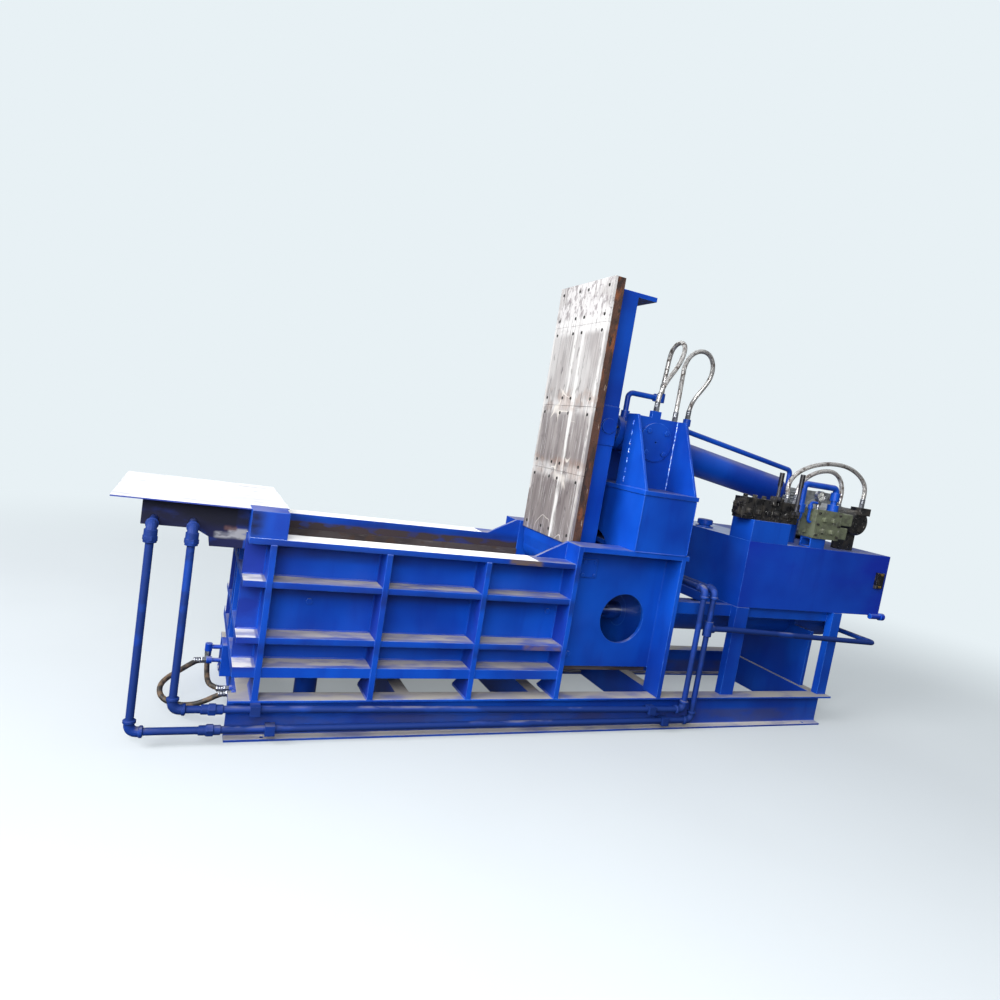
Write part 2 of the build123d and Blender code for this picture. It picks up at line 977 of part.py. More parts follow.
# Lid cylinder barrel with its trunnion collar and rounded rear cap
with BuildPart() as lid_cylinder_barrel:
    disc_lid((-lid_barrel_rear - lid_cap_length, lid_barrel_front), lid_barrel_radius)
    rear_rim = lid_cylinder_barrel.edges().filter_by(GeomType.CIRCLE).sort_by(Axis.X)[-1]
    fillet(rear_rim, lid_cap_round)
    disc_lid((-lid_collar_half, lid_collar_half), lid_collar_radius)
    pin_end = post_outer - trunnion_end_gap
    disc_y((-pin_end, pin_end), (trunnion_x, trunnion_z), trunnion_radius)
    disc_z((front_port_axis_z, front_port_top), (front_port_x, 0), union_radius)
    disc_lid((-lid_barrel_rear, lid_barrel_front), lid_barrel_bore, Mode.SUBTRACT)
write(lid_cylinder_barrel, "lid_cylinder_barrel")

with BuildPart() as lid_cylinder_gland:
    gland_span = (lid_barrel_front, lid_barrel_front + lid_gland_length)
    disc_lid(gland_span, lid_gland_radius)
    disc_lid(gland_span, lid_rod_radius + lid_rod_fit, Mode.SUBTRACT)
write(lid_cylinder_gland, "lid_cylinder_gland")

# Hard pipes on the lid cylinder: a front arch, a long feed and its cap elbow
with BuildPart() as lid_cylinder_pipes:
    pipe(
        (
            (front_port_x, 0, front_port_top),
            (front_port_x, 0, arch_z),
            (arch_end_x, 0, arch_z),
        ),
        pipe_radius,
        pipe_bend,
    )
    disc_z((front_port_top, front_port_top + union_length), (front_port_x, 0), union_radius)
    disc_z((arch_z - fitting_radius, hose_b[0][2]), (arch_end_x, 0), fitting_radius)
    disc_x((arch_end_x - arch_fitting, arch_end_x), (0, arch_z), fitting_radius)
    feed_top_end = on_lid_axis(-cap_elbow)
    feed_fall = (feed_top_end[0] - feed_start[0]) * lid_axis_z / lid_axis_x
    pipe(
        (
            feed_start,
            (feed_start[0], 0, feed_z),
            (feed_top_end[0], 0, feed_z - feed_fall),
            feed_top_end,
            on_lid_axis(-lid_barrel_rear - lid_cap_length),
        ),
        pipe_radius,
        pipe_bend,
    )
    disc_z((feed_start[2] - feed_fitting, feed_start[2]), (feed_start[0], 0), fitting_radius)
write(lid_cylinder_pipes, "lid_cylinder_pipes")

# Rod with its piston and eye, and the pin that goes with the eye
with BuildPart() as lid_rod:
    disc_lid((-lid_piston_rest, lid_pin_distance), lid_rod_radius)
    disc_lid(
        (-lid_piston_rest, lid_piston_length - lid_piston_rest),
        lid_barrel_bore - lid_piston_fit,
    )
    eye_y = (-eye_thickness / 2, eye_thickness / 2)
    disc_y(eye_y, (lid_pin_x, lid_pin_z), eye_radius)
    disc_y(
        (-lid_rod_radius, lid_rod_radius),
        (lid_pin_x, lid_pin_z),
        eye_pin_radius + eye_pin_fit,
        Mode.SUBTRACT,
    )
write(lid_rod, "lid_rod")

with BuildPart() as lid_rod_pin:
    disc_y((-eye_pin_half, eye_pin_half), (lid_pin_x, lid_pin_z), eye_pin_radius)
write(lid_rod_pin, "lid_rod_pin")

# Main cylinder, flanged to the bulkhead
with BuildPart() as main_cylinder:
    disc_x((bulkhead_end, ram_barrel_end), (0, ram_z), ram_barrel_radius)
    disc_x((bulkhead_end, bulkhead_end + ram_flange_length), (0, ram_z), ram_flange_radius)
    disc_x((bulkhead_start, bulkhead_end), (0, ram_z), ram_nose_radius)
    disc_y(
        (-ram_barrel_radius - ram_port_reach, 0),
        (ram_port_x, ram_z),
        ram_port_radius,
    )
    rear_edge = main_cylinder.edges().filter_by(GeomType.CIRCLE).sort_by(Axis.X)[-1]
    fillet(rear_edge, ram_cap_length / 2)
    disc_x(
        (bulkhead_end + ram_flange_length, ram_barrel_end - ram_cap_length),
        (0, ram_z),
        ram_barrel_bore,
        Mode.SUBTRACT,
    )
    disc_x(
        (bulkhead_start, bulkhead_end + ram_flange_length),
        (0, ram_z),
        ram_rod_radius + ram_rod_fit,
        Mode.SUBTRACT,
    )
write(main_cylinder, "main_cylinder")

with BuildPart() as main_rod:
    piston_end = ram_piston_start + ram_piston_length
    disc_x((platen_rear, piston_end), (0, ram_z), ram_rod_radius)
    disc_x((ram_piston_start, piston_end), (0, ram_z), ram_barrel_bore - ram_rod_fit)
write(main_rod, "main_rod")

# Ram platen: a ribbed box, open at the sides
with BuildPart() as ram_platen:
    block((platen_front, platen_rear), (-platen_half, platen_half), (platen_bottom, platen_top))
    rib_half = platen_plate / 2
    for side in (-1, 1):
        block(
            (platen_front + platen_plate, platen_rear - platen_plate),
            across(side, ram_barrel_radius + rib_half, platen_half),
            (platen_bottom + platen_plate, platen_top - platen_plate),
            Mode.SUBTRACT,
        )
        block(
            (platen_front + platen_plate, platen_rear - platen_plate),
            across(side, rib_half, ram_barrel_radius - rib_half),
            (platen_bottom + platen_plate, platen_top - platen_plate),
            Mode.SUBTRACT,
        )
write(ram_platen, "ram_platen")

# Ram mounts: the bulkhead that takes the thrust and the saddle under the tail
with BuildPart() as ram_mounts:
    block((bulkhead_start, bulkhead_end), (-tunnel_half, tunnel_half), (floor_top, tunnel_top))
    disc_x(
        (bulkhead_start, bulkhead_end),
        (0, ram_z),
        ram_nose_radius + ram_nose_fit,
        Mode.SUBTRACT,
    )
    saddle_x = (rear_plate_start, rear_plate_start + rear_plate_thickness)
    block(saddle_x, (-rear_plate_half, rear_plate_half), (beam_height, ram_z))
    disc_x(saddle_x, (0, ram_z), rear_plate_top_radius)
    disc_x(saddle_x, (0, ram_z), ram_barrel_radius + ram_nose_fit, Mode.SUBTRACT)
write(ram_mounts, "ram_mounts")

# Ejector plate on its rod, let into the chamber floor
barrel_z = (ejector_barrel_bottom, floor_bottom)
bore_bottom = ejector_barrel_bottom + ejector_cap
piston_z = bore_bottom + ejector_piston_lift
with BuildPart() as ejector_plate:
    block(
        (pocket_x[0] + ejector_gap, pocket_x[1] - ejector_gap),
        (pocket_y[0] + ejector_gap, pocket_y[1] - ejector_gap),
        (floor_top - ejector_plate_thickness, floor_top),
    )
    disc_z((piston_z, floor_top - ejector_plate_thickness), (ejector_x, 0), ejector_rod_radius)
    disc_z(
        (piston_z, piston_z + ejector_piston_length),
        (ejector_x, 0),
        ejector_barrel_bore - ejector_rod_fit,
    )
write(ejector_plate, "ejector_plate")

# Ejector cylinder with its two pipes and the port block on the first cross beam
with BuildPart() as ejector_cylinder:
    disc_z(barrel_z, (ejector_x, 0), ejector_barrel_radius)
    block(
        (ejector_x - ejector_flange_half, ejector_x + ejector_flange_half),
        (-ejector_flange_half, ejector_flange_half),
        (floor_bottom - ejector_flange_plate, floor_bottom),
    )
    block(
        (ejector_block_start, cross_starts[0]),
        (-ejector_block_half, ejector_block_half),
        (ejector_block_bottom, floor_bottom),
    )
    for height, side in zip(ejector_port_heights, (-1, 1)):
        pipe_y = side * ejector_pipe_y
        pipe_end = ejector_x - ejector_pipe_lap
        disc_x((cross_starts[0], pipe_end), (pipe_y, height), small_pipe_radius)
        disc_x((ejector_stub_end, ejector_block_start), (pipe_y, height), ejector_stub_radius)
    lower_y, upper_y = hose_e[0][1], hose_f[0][1]
    lower_elbow = (hose_e[0][0], hose_e[0][0] + elbow_length)
    disc_x(lower_elbow, (lower_y, hose_e[0][2]), elbow_radius)
    disc_z(
        (hose_f[0][2], ejector_port_heights[1] + elbow_radius),
        (hose_f[0][0], upper_y),
        elbow_radius,
    )
    for end in (hose_e[-1], hose_f[-1]):
        disc_x((end[0], cross_starts[0]), (end[1], end[2]), elbow_radius)
    disc_z(
        (bore_bottom, floor_bottom - ejector_cap),
        (ejector_x, 0),
        ejector_barrel_bore,
        Mode.SUBTRACT,
    )
    disc_z(
        (floor_bottom - ejector_cap, floor_bottom),
        (ejector_x, 0),
        ejector_rod_radius + ejector_rod_fit,
        Mode.SUBTRACT,
    )
write(ejector_cylinder, "ejector_cylinder")

# Lock housing: side plates, floor plate and the guides on the rim
tray_bottom = tray_top - tray_plate
lock_floor_top = end_wall_top + lock_floor
with BuildPart() as lock_housing:
    housing = (
        (lock_start, tray_bottom),
        (lock_start, lock_chin_z),
        (lock_chin_x, lock_chin_z),
        (lock_step_x, lock_step_z),
        (lock_floor_start, end_wall_top),
        (lock_end, end_wall_top),
        (lock_end, tray_bottom),
    )
    for side in (-1, 1):
        side_profile(housing, across(side, lock_plate_y - lock_plate, lock_plate_y))
        block(
            guide_x,
            across(side, lock_plate_y, guide_far_y),
            (rim_top, guide_near_top if side < 0 else tray_bottom),
        )
    block(
        (lock_floor_start, lock_floor_end),
        (-lock_plate_y + lock_plate, lock_plate_y - lock_plate),
        (end_wall_top, lock_floor_top),
    )
    block(
        (lock_start, lock_start + lock_plate),
        (-lock_plate_y, lock_plate_y),
        (lock_chin_z, tray_bottom),
    )
write(lock_housing, "lock_housing")

# Loading tray on top of the lock, cut away round the near guide
with BuildPart() as lock_tray:
    with BuildSketch(Plane.XY.offset(tray_bottom)):
        with BuildLine():
            Polyline(
                (tray_start, -tray_near),
                (tray_notch_x, -tray_near),
                (tray_notch_x, -tray_notch_y),
                (tray_end, -tray_notch_y),
                (tray_end, tray_far),
                (tray_start, tray_far),
                close=True,
            )
        make_face()
    extrude(amount=tray_plate)
write(lock_tray, "lock_tray")

# Lock cylinder, bolted between the housing plates
with BuildPart() as lock_cylinder:
    disc_x(lock_barrel_x, (0, lock_axis_z), lock_barrel_radius)
    for port_x in lock_ports_x:
        disc_y(
            (lock_plate - lock_plate_y, 0),
            (port_x, lock_axis_z),
            small_pipe_radius,
        )
    disc_x(
        (lock_barrel_x[0] + lock_plate, lock_barrel_x[1] - lock_plate),
        (0, lock_axis_z),
        lock_barrel_bore,
        Mode.SUBTRACT,
    )
    disc_x(
        (lock_barrel_x[1] - lock_plate, lock_barrel_x[1]),
        (0, lock_axis_z),
        lock_rod_radius + lock_rod_fit,
        Mode.SUBTRACT,
    )
write(lock_cylinder, "lock_cylinder")

# Lock wedge that slides over the lid's striker, with its rod and piston
with BuildPart() as lock_wedge:
    side_profile(
        (
            (wedge_tail, wedge_bottom),
            (wedge_tip, wedge_bottom),
            (wedge_tip, wedge_bottom + wedge_nose / 2),
            (wedge_tip - wedge_nose, wedge_top),
            (wedge_tail, wedge_top),
        ),
        (-wedge_half, wedge_half),
    )
    block(
        (wedge_tail, wedge_tail + wedge_nose),
        (-wedge_half / 2, wedge_half / 2),
        (wedge_top, lock_axis_z + lock_barrel_radius),
    )
    piston_x = lock_barrel_x[0] + lock_plate + lock_piston_gap
    disc_x((piston_x, wedge_tail), (0, lock_axis_z), lock_rod_radius)
    disc_x(
        (piston_x, piston_x + lock_piston_length),
        (0, lock_axis_z),
        lock_barrel_bore - lock_rod_fit,
    )
write(lock_wedge, "lock_wedge")

# Oil tank with its drain pipe along the near lower edge
with BuildPart() as tank:
    block((tank_start, tank_end), (-tank_half, tank_half), (tank_bottom, tank_top))
    block(
        (tank_start + tank_plate, tank_end - tank_plate),
        (tank_plate - tank_half, tank_half - tank_plate),
        (tank_bottom + tank_plate, tank_top - tank_plate),
        Mode.SUBTRACT,
    )
    disc_x(drain_x, (drain_y, drain_z), drain_radius)
    disc_x((drain_x[1] - drain_ring_length, drain_x[1]), (drain_y, drain_z), drain_ring)
write(tank, "tank")

# Stand under the tank: two rails, four channel posts and two bearers
rail_bottom = tank_bottom - rail_height
with BuildPart() as tank_stand:
    rail_inner = rail_outer - channel_depth
    for side in (-1, 1):
        block((rail_start, rail_end), across(side, rail_inner, rail_outer), (rail_bottom, tank_bottom))
        block(
            (rail_start, rail_end),
            across(side, rail_inner, rail_outer - channel_wall),
            (rail_bottom + channel_wall, tank_bottom - channel_wall),
            Mode.SUBTRACT,
        )
        for start, length in zip(post_starts, stand_post_length):
            post_span = across(side, rail_outer, rail_outer + channel_depth)
            block((start, start + length), post_span, (beam_height, tank_bottom))
            block(
                (start + channel_wall, start + length - channel_wall),
                across(side, rail_outer, rail_outer + channel_depth - channel_wall),
                (beam_height, tank_bottom),
                Mode.SUBTRACT,
            )
    for start in bearer_starts:
        block(
            (start, start + bearer_length),
            (-rail_inner, rail_inner),
            (tank_bottom - bearer_height, tank_bottom),
        )
write(tank_stand, "tank_stand")

# Valve box on the tank's near edge
with BuildPart() as valve_box:
    block((tank_start, valve_box_end), valve_box_y, (tank_top, valve_box_top))
    block(
        (tank_start + valve_box_plate, valve_box_end - valve_box_plate),
        (valve_box_y[0] + valve_box_plate, valve_box_y[1] - valve_box_plate),
        (tank_top, valve_box_top - valve_box_plate),
        Mode.SUBTRACT,
    )
write(valve_box, "valve_box")

# Valve bank: cast sections side by side, an end cap, and ears for the levers
section_pitch = (valve_end - valve_start) / valve_sections
with BuildPart() as valve_bank:
    block(
        (valve_start, valve_end),
        (valve_y[0] + valve_neck, valve_y[1] - valve_neck),
        (valve_box_top, valve_top - valve_neck),
    )
    for number in range(valve_sections):
        start = valve_start + number * section_pitch
        block(
            (start + valve_section_gap / 2, start + section_pitch - valve_section_gap / 2),
            valve_y,
            (valve_box_top, valve_top),
        )
    block((valve_nose_x, valve_start + valve_section_gap), valve_nose_y, valve_nose_z)
    ear_inner = lever_hub_half + lever_ear_gap
    ear_outer = ear_inner + lever_ear
    ear_hole = ear_outer + lever_hole_lap
    for place, pivot in zip(lever_places, lever_pivots):
        for ear_x in (
            (place - ear_outer, place - ear_inner),
            (place + ear_inner, place + ear_outer),
        ):
            block(
                ear_x,
                (lever_y - lever_hub_radius, valve_y[0] + valve_neck),
                (min(pivot, valve_top) - lever_ear_drop, pivot + lever_hub_radius),
            )
        disc_x(
            (place - ear_hole, place + ear_hole),
            (lever_y, pivot),
            lever_pin_radius + lever_pin_fit,
            Mode.SUBTRACT,
        )
write(valve_bank, "valve_bank")

# Levers on their pins
for place, pivot, top, name in zip(lever_places, lever_pivots, lever_tops, ("left", "right")):
    with BuildPart() as lever:
        pin_half = lever_hub_half + lever_ear
        disc_x((place - pin_half, place + pin_half), (lever_y, pivot), lever_pin_radius)
        disc_x((place - lever_hub_half, place + lever_hub_half), (lever_y, pivot), lever_hub_radius)
        disc_z((pivot, top), (place, lever_y), lever_radius)
        disc_z((top - lever_grip_length, top), (place, lever_y), lever_grip_radius)
    write(lever, f"valve_lever_{name}")

# Pump bracket and the control block on it
with BuildPart() as pump_bracket:
    block(bracket_x, bracket_y, (tank_top, tank_top + bracket_plate))
    block(bracket_x, bracket_y, (block_z[0] - bracket_plate, block_z[0]))
    block(bracket_x, (bracket_y[0], bracket_y[0] + bracket_plate), (tank_top, block_z[0]))
    block(bracket_x, (bracket_y[1] - bracket_plate, bracket_y[1]), (tank_top, block_z[0]))
write(pump_bracket, "pump_bracket")

with BuildPart() as control_block:
    block(block_x, block_y, block_z)
    for row, end in zip(solenoid_rows, solenoid_ends):
        row_middle = ((solenoid_y[0] + solenoid_y[1]) / 2, (row[0] + row[1]) / 2)
        with BuildSketch(Plane.YZ.offset(block_x[1])) as body:
            with Locations(row_middle):
                RectangleRounded(solenoid_y[1] - solenoid_y[0], row[1] - row[0], solenoid_round)
        extrude(body.sketch, amount=end - block_x[1])
        with BuildSketch(Plane.YZ.offset(end)) as nut:
            with Locations(row_middle):
                RegularPolygon(solenoid_nut, 6)
        extrude(nut.sketch, amount=solenoid_nut_length)
write(control_block, "control_block")

# Pump, bell housing and drive motor in line across the tank
with BuildPart() as pump:
    disc_y(pump_y, (pump_x, pump_z), pump_radius)
    front_rim = pump.edges().filter_by(GeomType.CIRCLE).sort_by(Axis.Y)[0]
    fillet(front_rim, pump_round)
    port_x, port_y, port_z = hose_c[-1]
    block(
        (port_x - pump_port_half[0], port_x + pump_port_half[0]),
        (port_y - pump_port_half[1], port_y + pump_port_half[1]),
        (port_z - pump_port_plate, port_z),
    )
    block(
        (pump_x - pump_foot_half, pump_x + pump_foot_half),
        pump_foot_y,
        (tank_top, pump_z),
    )
write(pump, "pump")

with BuildPart() as drive_motor:
    disc_y((pump_y[1], motor_flange_y[0]), (pump_x, pump_z), bell_radius)
    disc_y(
        (motor_flange_y[0] - bell_rim_plate, motor_flange_y[0]),
        (pump_x, pump_z),
        bell_rim,
    )
    with BuildSketch(Plane.XZ.offset(-motor_flange_y[1])) as flange:
        with Locations((pump_x, pump_z)):
            RectangleRounded(2 * motor_flange_half, 2 * motor_flange_half, motor_flange_corner)
    extrude(flange.sketch, amount=motor_flange_y[1] - motor_flange_y[0])
    disc_y((motor_flange_y[1], motor_end), (pump_x, pump_z), motor_radius)
    disc_y(
        (motor_end - fan_cover_length, motor_end),
        (pump_x, pump_z),
        motor_radius + fan_cover,
    )
    for side in (-1, 1):
        foot_x = sorted(pump_x + side * reach for reach in motor_foot_x)
        pad_x = sorted(pump_x + side * reach for reach in motor_foot_pad_x)
        block(foot_x, motor_foot_y, (tank_top, pump_z - motor_foot_drop))
        block(pad_x, motor_foot_y, (tank_top, tank_top + motor_foot_pad))
write(drive_motor, "drive_motor")

# Crossover pipe from the valve bank to the control block, and the gauge's thin line
gauge_front = gauge_y - gauge_depth
stem_y = gauge_y - gauge_depth / 2
with BuildPart() as crossover_pipe:
    left_x, right_x = crossover_x
    low_z, high_z = crossover_z
    pipe(
        (
            (valve_end, crossover_y, low_z),
            (left_x, crossover_y, low_z),
            (left_x, crossover_y, high_z),
            (right_x, crossover_y, high_z),
            (right_x, crossover_y, block_z[1]),
        ),
        crossover_radius,
        crossover_bend,
    )
    disc_z(
        (block_z[1], block_z[1] + crossover_foot_height),
        (right_x, crossover_y),
        crossover_foot,
    )
    disc_z(
        (high_z - union_above - union_length, high_z - union_above),
        (right_x, crossover_y),
        crossover_union,
    )
    disc_z(
        (low_z + union_below, low_z + union_below + union_length),
        (left_x, crossover_y),
        crossover_union,
    )
    line_low, line_high = gauge_line_z
    pipe(
        (
            (block_x[0], stem_y, line_low),
            (gauge_line_x, stem_y, line_low),
            (gauge_line_x, stem_y, line_high),
            (gauge_x - gauge_tee_half, stem_y, line_high),
        ),
        gauge_line_radius,
        gauge_line_bend,
    )
    disc_z(
        (line_high - gauge_line_bend - gauge_line_nut_length, line_high - gauge_line_bend),
        (gauge_line_x, stem_y),
        gauge_line_nut,
    )
write(crossover_pipe, "crossover_pipe")

# Pressure gauge on a thin stem, and its needle on the dial
with BuildPart() as pressure_gauge:
    disc_y((gauge_front, gauge_y), (gauge_x, gauge_z), gauge_radius)
    disc_y(
        (gauge_front, gauge_front + gauge_dial_depth),
        (gauge_x, gauge_z),
        gauge_radius - gauge_rim,
        Mode.SUBTRACT,
    )
    disc_z(
        (block_z[1], gauge_z - gauge_radius + gauge_stem_lap),
        (gauge_x, stem_y),
        gauge_stem,
    )
    tee_x = (gauge_x - gauge_tee_half, gauge_x + gauge_tee_half)
    tee_y = (stem_y - gauge_tee_half, stem_y + gauge_tee_half)
    block(tee_x, tee_y, (line_high - gauge_tee_half, line_high + gauge_tee_half))
write(pressure_gauge, "pressure_gauge")

dial_y = gauge_front + gauge_dial_depth
needle_turn = math.radians(needle_angle)
with BuildPart() as gauge_needle:
    disc_y(
        (dial_y - needle_hub_reach[0], dial_y - needle_hub_reach[1]),
        (gauge_x, gauge_z),
        needle_hub,
    )
    tip = (
        gauge_x + needle_length * math.cos(needle_turn),
        gauge_z + needle_length * math.sin(needle_turn),
    )
    across_x = needle_width / 2 * math.sin(needle_turn)
    across_z = needle_width / 2 * math.cos(needle_turn)
    side_profile(
        (
            (gauge_x - across_x, gauge_z + across_z),
            (gauge_x + across_x, gauge_z - across_z),
            tip,
        ),
        (dial_y - needle_gap - needle_thickness, dial_y - needle_gap),
    )
write(gauge_needle, "gauge_needle")

# Filler breather and return filter on the tank's top
with BuildPart() as tank_fittings:
    low = tank_top
    for level, radius in zip(breather_levels, breather_radii):
        disc_z((low, tank_top + level), breather_place, radius)
        low = tank_top + level
    cap_rim = tank_fittings.edges().filter_by(GeomType.CIRCLE).sort_by(Axis.Z)[-1]
    fillet(cap_rim, breather_round)
    head_bottom = tank_top + filter_height
    disc_z((tank_top, head_bottom), filter_place, filter_radius)
    disc_z((head_bottom, head_bottom + filter_head), filter_place, filter_head_radius)
write(tank_fittings, "tank_fittings")

# Level gauge on the tank's near side

with BuildPart() as level_gauge:
    block(level_x, (-tank_half - level_plate, -tank_half), level_z)
    near_face = level_gauge.faces().sort_by(Axis.Y)[0]
    fillet(near_face.edges(), level_round)
write(level_gauge, "level_gauge")

# Pipes to the lock cylinder, along the near beam
lock_union_z = tuple(lock_pipe_top - drop for drop in lock_union_drop)
with BuildPart() as lock_pipe_upper:
    pipe(
        (
            (upper_start, -lock_plate_y, lock_pipe_top),
            (upper_start, lock_pipe_y, lock_pipe_top),
            (upper_start, lock_pipe_y, upper_z[0]),
            (upper_end, lock_pipe_y, upper_z[1]),
            (upper_end, lock_pipe_y, riser_top),
            (upper_end, riser_end_y, riser_top),
        ),
        pipe_radius,
        pipe_bend,
    )
    disc_z(lock_union_z, (upper_start, lock_pipe_y), union_radius)
write(lock_pipe_upper, "lock_pipe_upper")

with BuildPart() as lock_pipe_lower:
    pipe(
        (
            (lower_start, -lock_plate_y, lock_pipe_top),
            (lower_start, lock_pipe_y, lock_pipe_top),
            (lower_start, lock_pipe_y, lower_z[0]),
            (lower_end, lock_pipe_y, lower_z[1]),
            (lower_end, lock_pipe_y, riser_top),
            (lower_end, riser_end_y, riser_top),
        ),
        pipe_radius,
        pipe_bend,
    )
    disc_z(lock_union_z, (lower_start, lock_pipe_y), union_radius)
    disc_z((tee_z - tee_half, tee_z + tee_half), (lower_end, lock_pipe_y), union_radius)
    disc_x((lower_end, tee_branch_end), (lock_pipe_y, tee_z), fitting_radius)
write(lock_pipe_lower, "lock_pipe_lower")

# Pipe from the tee to the main cylinder's tail port
with BuildPart() as ram_pipe:
    pipe(
        (
            (tee_branch_end, lock_pipe_y, tee_z),
            (ram_pipe_level_end, lock_pipe_y, tee_z),
            (ram_port_x, lock_pipe_y, ram_z),
            (ram_port_x, -ram_barrel_radius - ram_port_reach, ram_z),
        ),
        pipe_radius,
        pipe_bend,
    )
write(ram_pipe, "ram_pipe")

# Clamps on studs that hold the two long pipes off the near beam's web
with BuildPart() as pipe_clamps:
    upper_run = (upper_start, upper_end, upper_z)
    lower_run = (lower_start, lower_end, lower_z)
    clamp_front = lock_pipe_y - pipe_radius - clamp_plate
    for places, (start, end, heights) in ((clamp_upper, upper_run), (clamp_lower, lower_run)):
        for place in places:
            share = (place - start) / (end - start)
            height = heights[0] + share * (heights[1] - heights[0])
            clamp_x = (place - clamp_width / 2, place + clamp_width / 2)
            block(clamp_x, (clamp_front, -half_width), (height - clamp_half, height + clamp_half))
            block(
                (place - clamp_stud / 2, place + clamp_stud / 2),
                (-half_width, -beam_web_outer),
                (height - clamp_half, height - clamp_half + clamp_stud),
            )
            disc_x(clamp_x, (lock_pipe_y, height), pipe_radius + clamp_fit, Mode.SUBTRACT)
write(pipe_clamps, "pipe_clamps")

# Loose hoses, each a plain tube along its route
hoses = {
    "hose_lid_rear": (hose_a, braided_radius),
    "hose_lid_front": (hose_b, braided_radius),
    "hose_pump": (hose_c, braided_radius),
    "hose_block": (hose_d, braided_radius),
    "hose_ejector_lower": (hose_e, rubber_radius),
    "hose_ejector_upper": (hose_f, rubber_radius),
}
for name, (points, radius) in hoses.items():
    bends = cord_bends(points)
    print(name, "bends", [round(bend) for bend in bends])
    with BuildPart() as hose:
        with BuildLine() as route:
            FilletPolyline(*points, radius=bends)
        with BuildSketch(Plane(origin=route.line @ 0, z_dir=route.line % 0)):
            Circle(radius)
        sweep(path=route.line)
    straight = math.pi * radius**2 * route.wires()[0].length
    print(name, "volume over section times length", round(hose.part.volume / straight, 4))
    write(hose, name)
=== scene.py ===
import math
import random

import bmesh
import bpy
from bpy.props import FloatProperty, FloatVectorProperty, PointerProperty
from mathutils import Matrix, Vector


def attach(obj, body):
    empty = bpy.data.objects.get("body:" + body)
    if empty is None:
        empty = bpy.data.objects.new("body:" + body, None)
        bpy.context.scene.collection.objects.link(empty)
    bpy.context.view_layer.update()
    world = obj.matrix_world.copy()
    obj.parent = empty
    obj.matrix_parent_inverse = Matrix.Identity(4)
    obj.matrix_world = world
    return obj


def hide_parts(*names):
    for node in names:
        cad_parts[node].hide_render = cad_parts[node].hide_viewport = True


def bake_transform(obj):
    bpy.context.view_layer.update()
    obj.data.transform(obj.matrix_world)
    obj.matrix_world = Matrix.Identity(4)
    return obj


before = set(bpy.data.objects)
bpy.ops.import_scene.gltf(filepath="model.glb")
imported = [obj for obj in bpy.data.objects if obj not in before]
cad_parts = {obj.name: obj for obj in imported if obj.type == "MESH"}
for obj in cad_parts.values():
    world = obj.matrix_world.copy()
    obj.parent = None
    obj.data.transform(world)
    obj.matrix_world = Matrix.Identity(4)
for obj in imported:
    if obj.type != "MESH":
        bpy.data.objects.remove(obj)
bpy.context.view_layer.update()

bl_info = {
    "name": "Lid baler",
    "version": (1, 0, 0),
    "blender": (4, 5, 0),
    "location": "View3D > Sidebar > Baler",
    "description": "Paint, wear, hoses, welds and small fasteners of a hydraulic lid baler",
    "category": "Object",
}

# Directions on the machine: X along it from the lock to the tank, Y across it, Z up
SIDES = (-1, 1)
NEAR = (0, -1, 0)
FAR = (0, 1, 0)
UP = (0, 0, 1)
DOWN = (0, 0, -1)
LOCK_WAY = (-1, 0, 0)
TANK_WAY = (1, 0, 0)
ORIGIN = (0, 0, 0)

# Places and sizes of the chamber, the tower and the lid, in metres
HALF_WIDTH = 0.5
WALL_FACE = 0.362
WALL_START = -1.915
WALL_END = -0.191
LEDGE_TOPS = (0.768, 0.502, 0.360)
LEDGE_PLATE = 0.030
RIM_TOP = 0.965
RIM_PLATE = 0.028
RIB_STARTS = (-1.820, -1.276, -0.748, -0.219)
RIB_PLATE = 0.028
RIB_FOOT = 0.29
BEAM_TOP = 0.200
DECK_TOP = 1.068
CAP_TOP = 1.420
CAP_PLATE = 0.025
TOWER_X = (0.140, 0.505)
POST_X = (0.140, 0.500)
POST_FACE = 0.216
POST_TOP = 1.845
CHEEK_PLATE = 0.015
BEAD_Y = 0.260
DASH = 0.034
DASHES = tuple(1.440 + 0.0555 * step for step in range(7))
TUNNEL_FACE = 0.356
COLUMN = 0.483
COLUMN_Z = (0.345, 1.035)
LID_FACE = -0.180
LID_BACK = -0.112
LID_HALF = 0.315
LID_ROWS = (1.040, 1.440, 1.832, 2.310, 2.560)
LID_SCREW_COLUMNS = (0.07, 0.39, 0.555, 0.918)
LID_SCREW_INSET = 0.045
ARM_FACE = 0.206
ARM_EDGE = 0.058
ARM_Z = (1.04, 2.50)
DOUBLERS = ((1.637, -1), (1.862, 1))

# Places and sizes of the hydraulics, in metres; a pair is where a block starts and ends
PIPE_Y = -0.520
PIPE_BEND = 0.034
LOCK_PIPE_TOP = 0.985
RISER_TOP = 0.885
UNION_X = -1.985
LOCK_PIPES = ((-2.152, 0.677, (0.172, 0.135)), (-2.313, 0.750, (0.072, 0.068)))
ELBOW_RADIUS = 0.0225
ELBOW_MOUTH = 0.012
ELBOW_STEPS = 8
ELBOW_BAND = ((0.0, 0.0225), (0.003, 0.0270), (0.014, 0.0270), (0.018, 0.0200))
UNION_SLEEVE = ((-0.048, 0.0190), (-0.045, 0.0225), (0.045, 0.0225), (0.048, 0.0190))
VALVE_X = (0.940, 1.400)
VALVE_Y = (-0.420, -0.322)
VALVE_Z = (1.330, 1.462)
VALVE_SECTIONS = 6
VALVE_NOSE = 0.918
NOSE_BOLTS_Y = (-0.388, -0.357)
NOSE_BOLTS_Z = (1.366, 1.414)
LEVER_RODS = ((1.13, -0.47, 1.28), (1.40, -0.43, 1.557))
BLOCK_X = (1.520, 1.752)
BLOCK_Y = (-0.455, -0.330)
BLOCK_Z = (1.262, 1.450)
BLOCK_INSET = 0.022
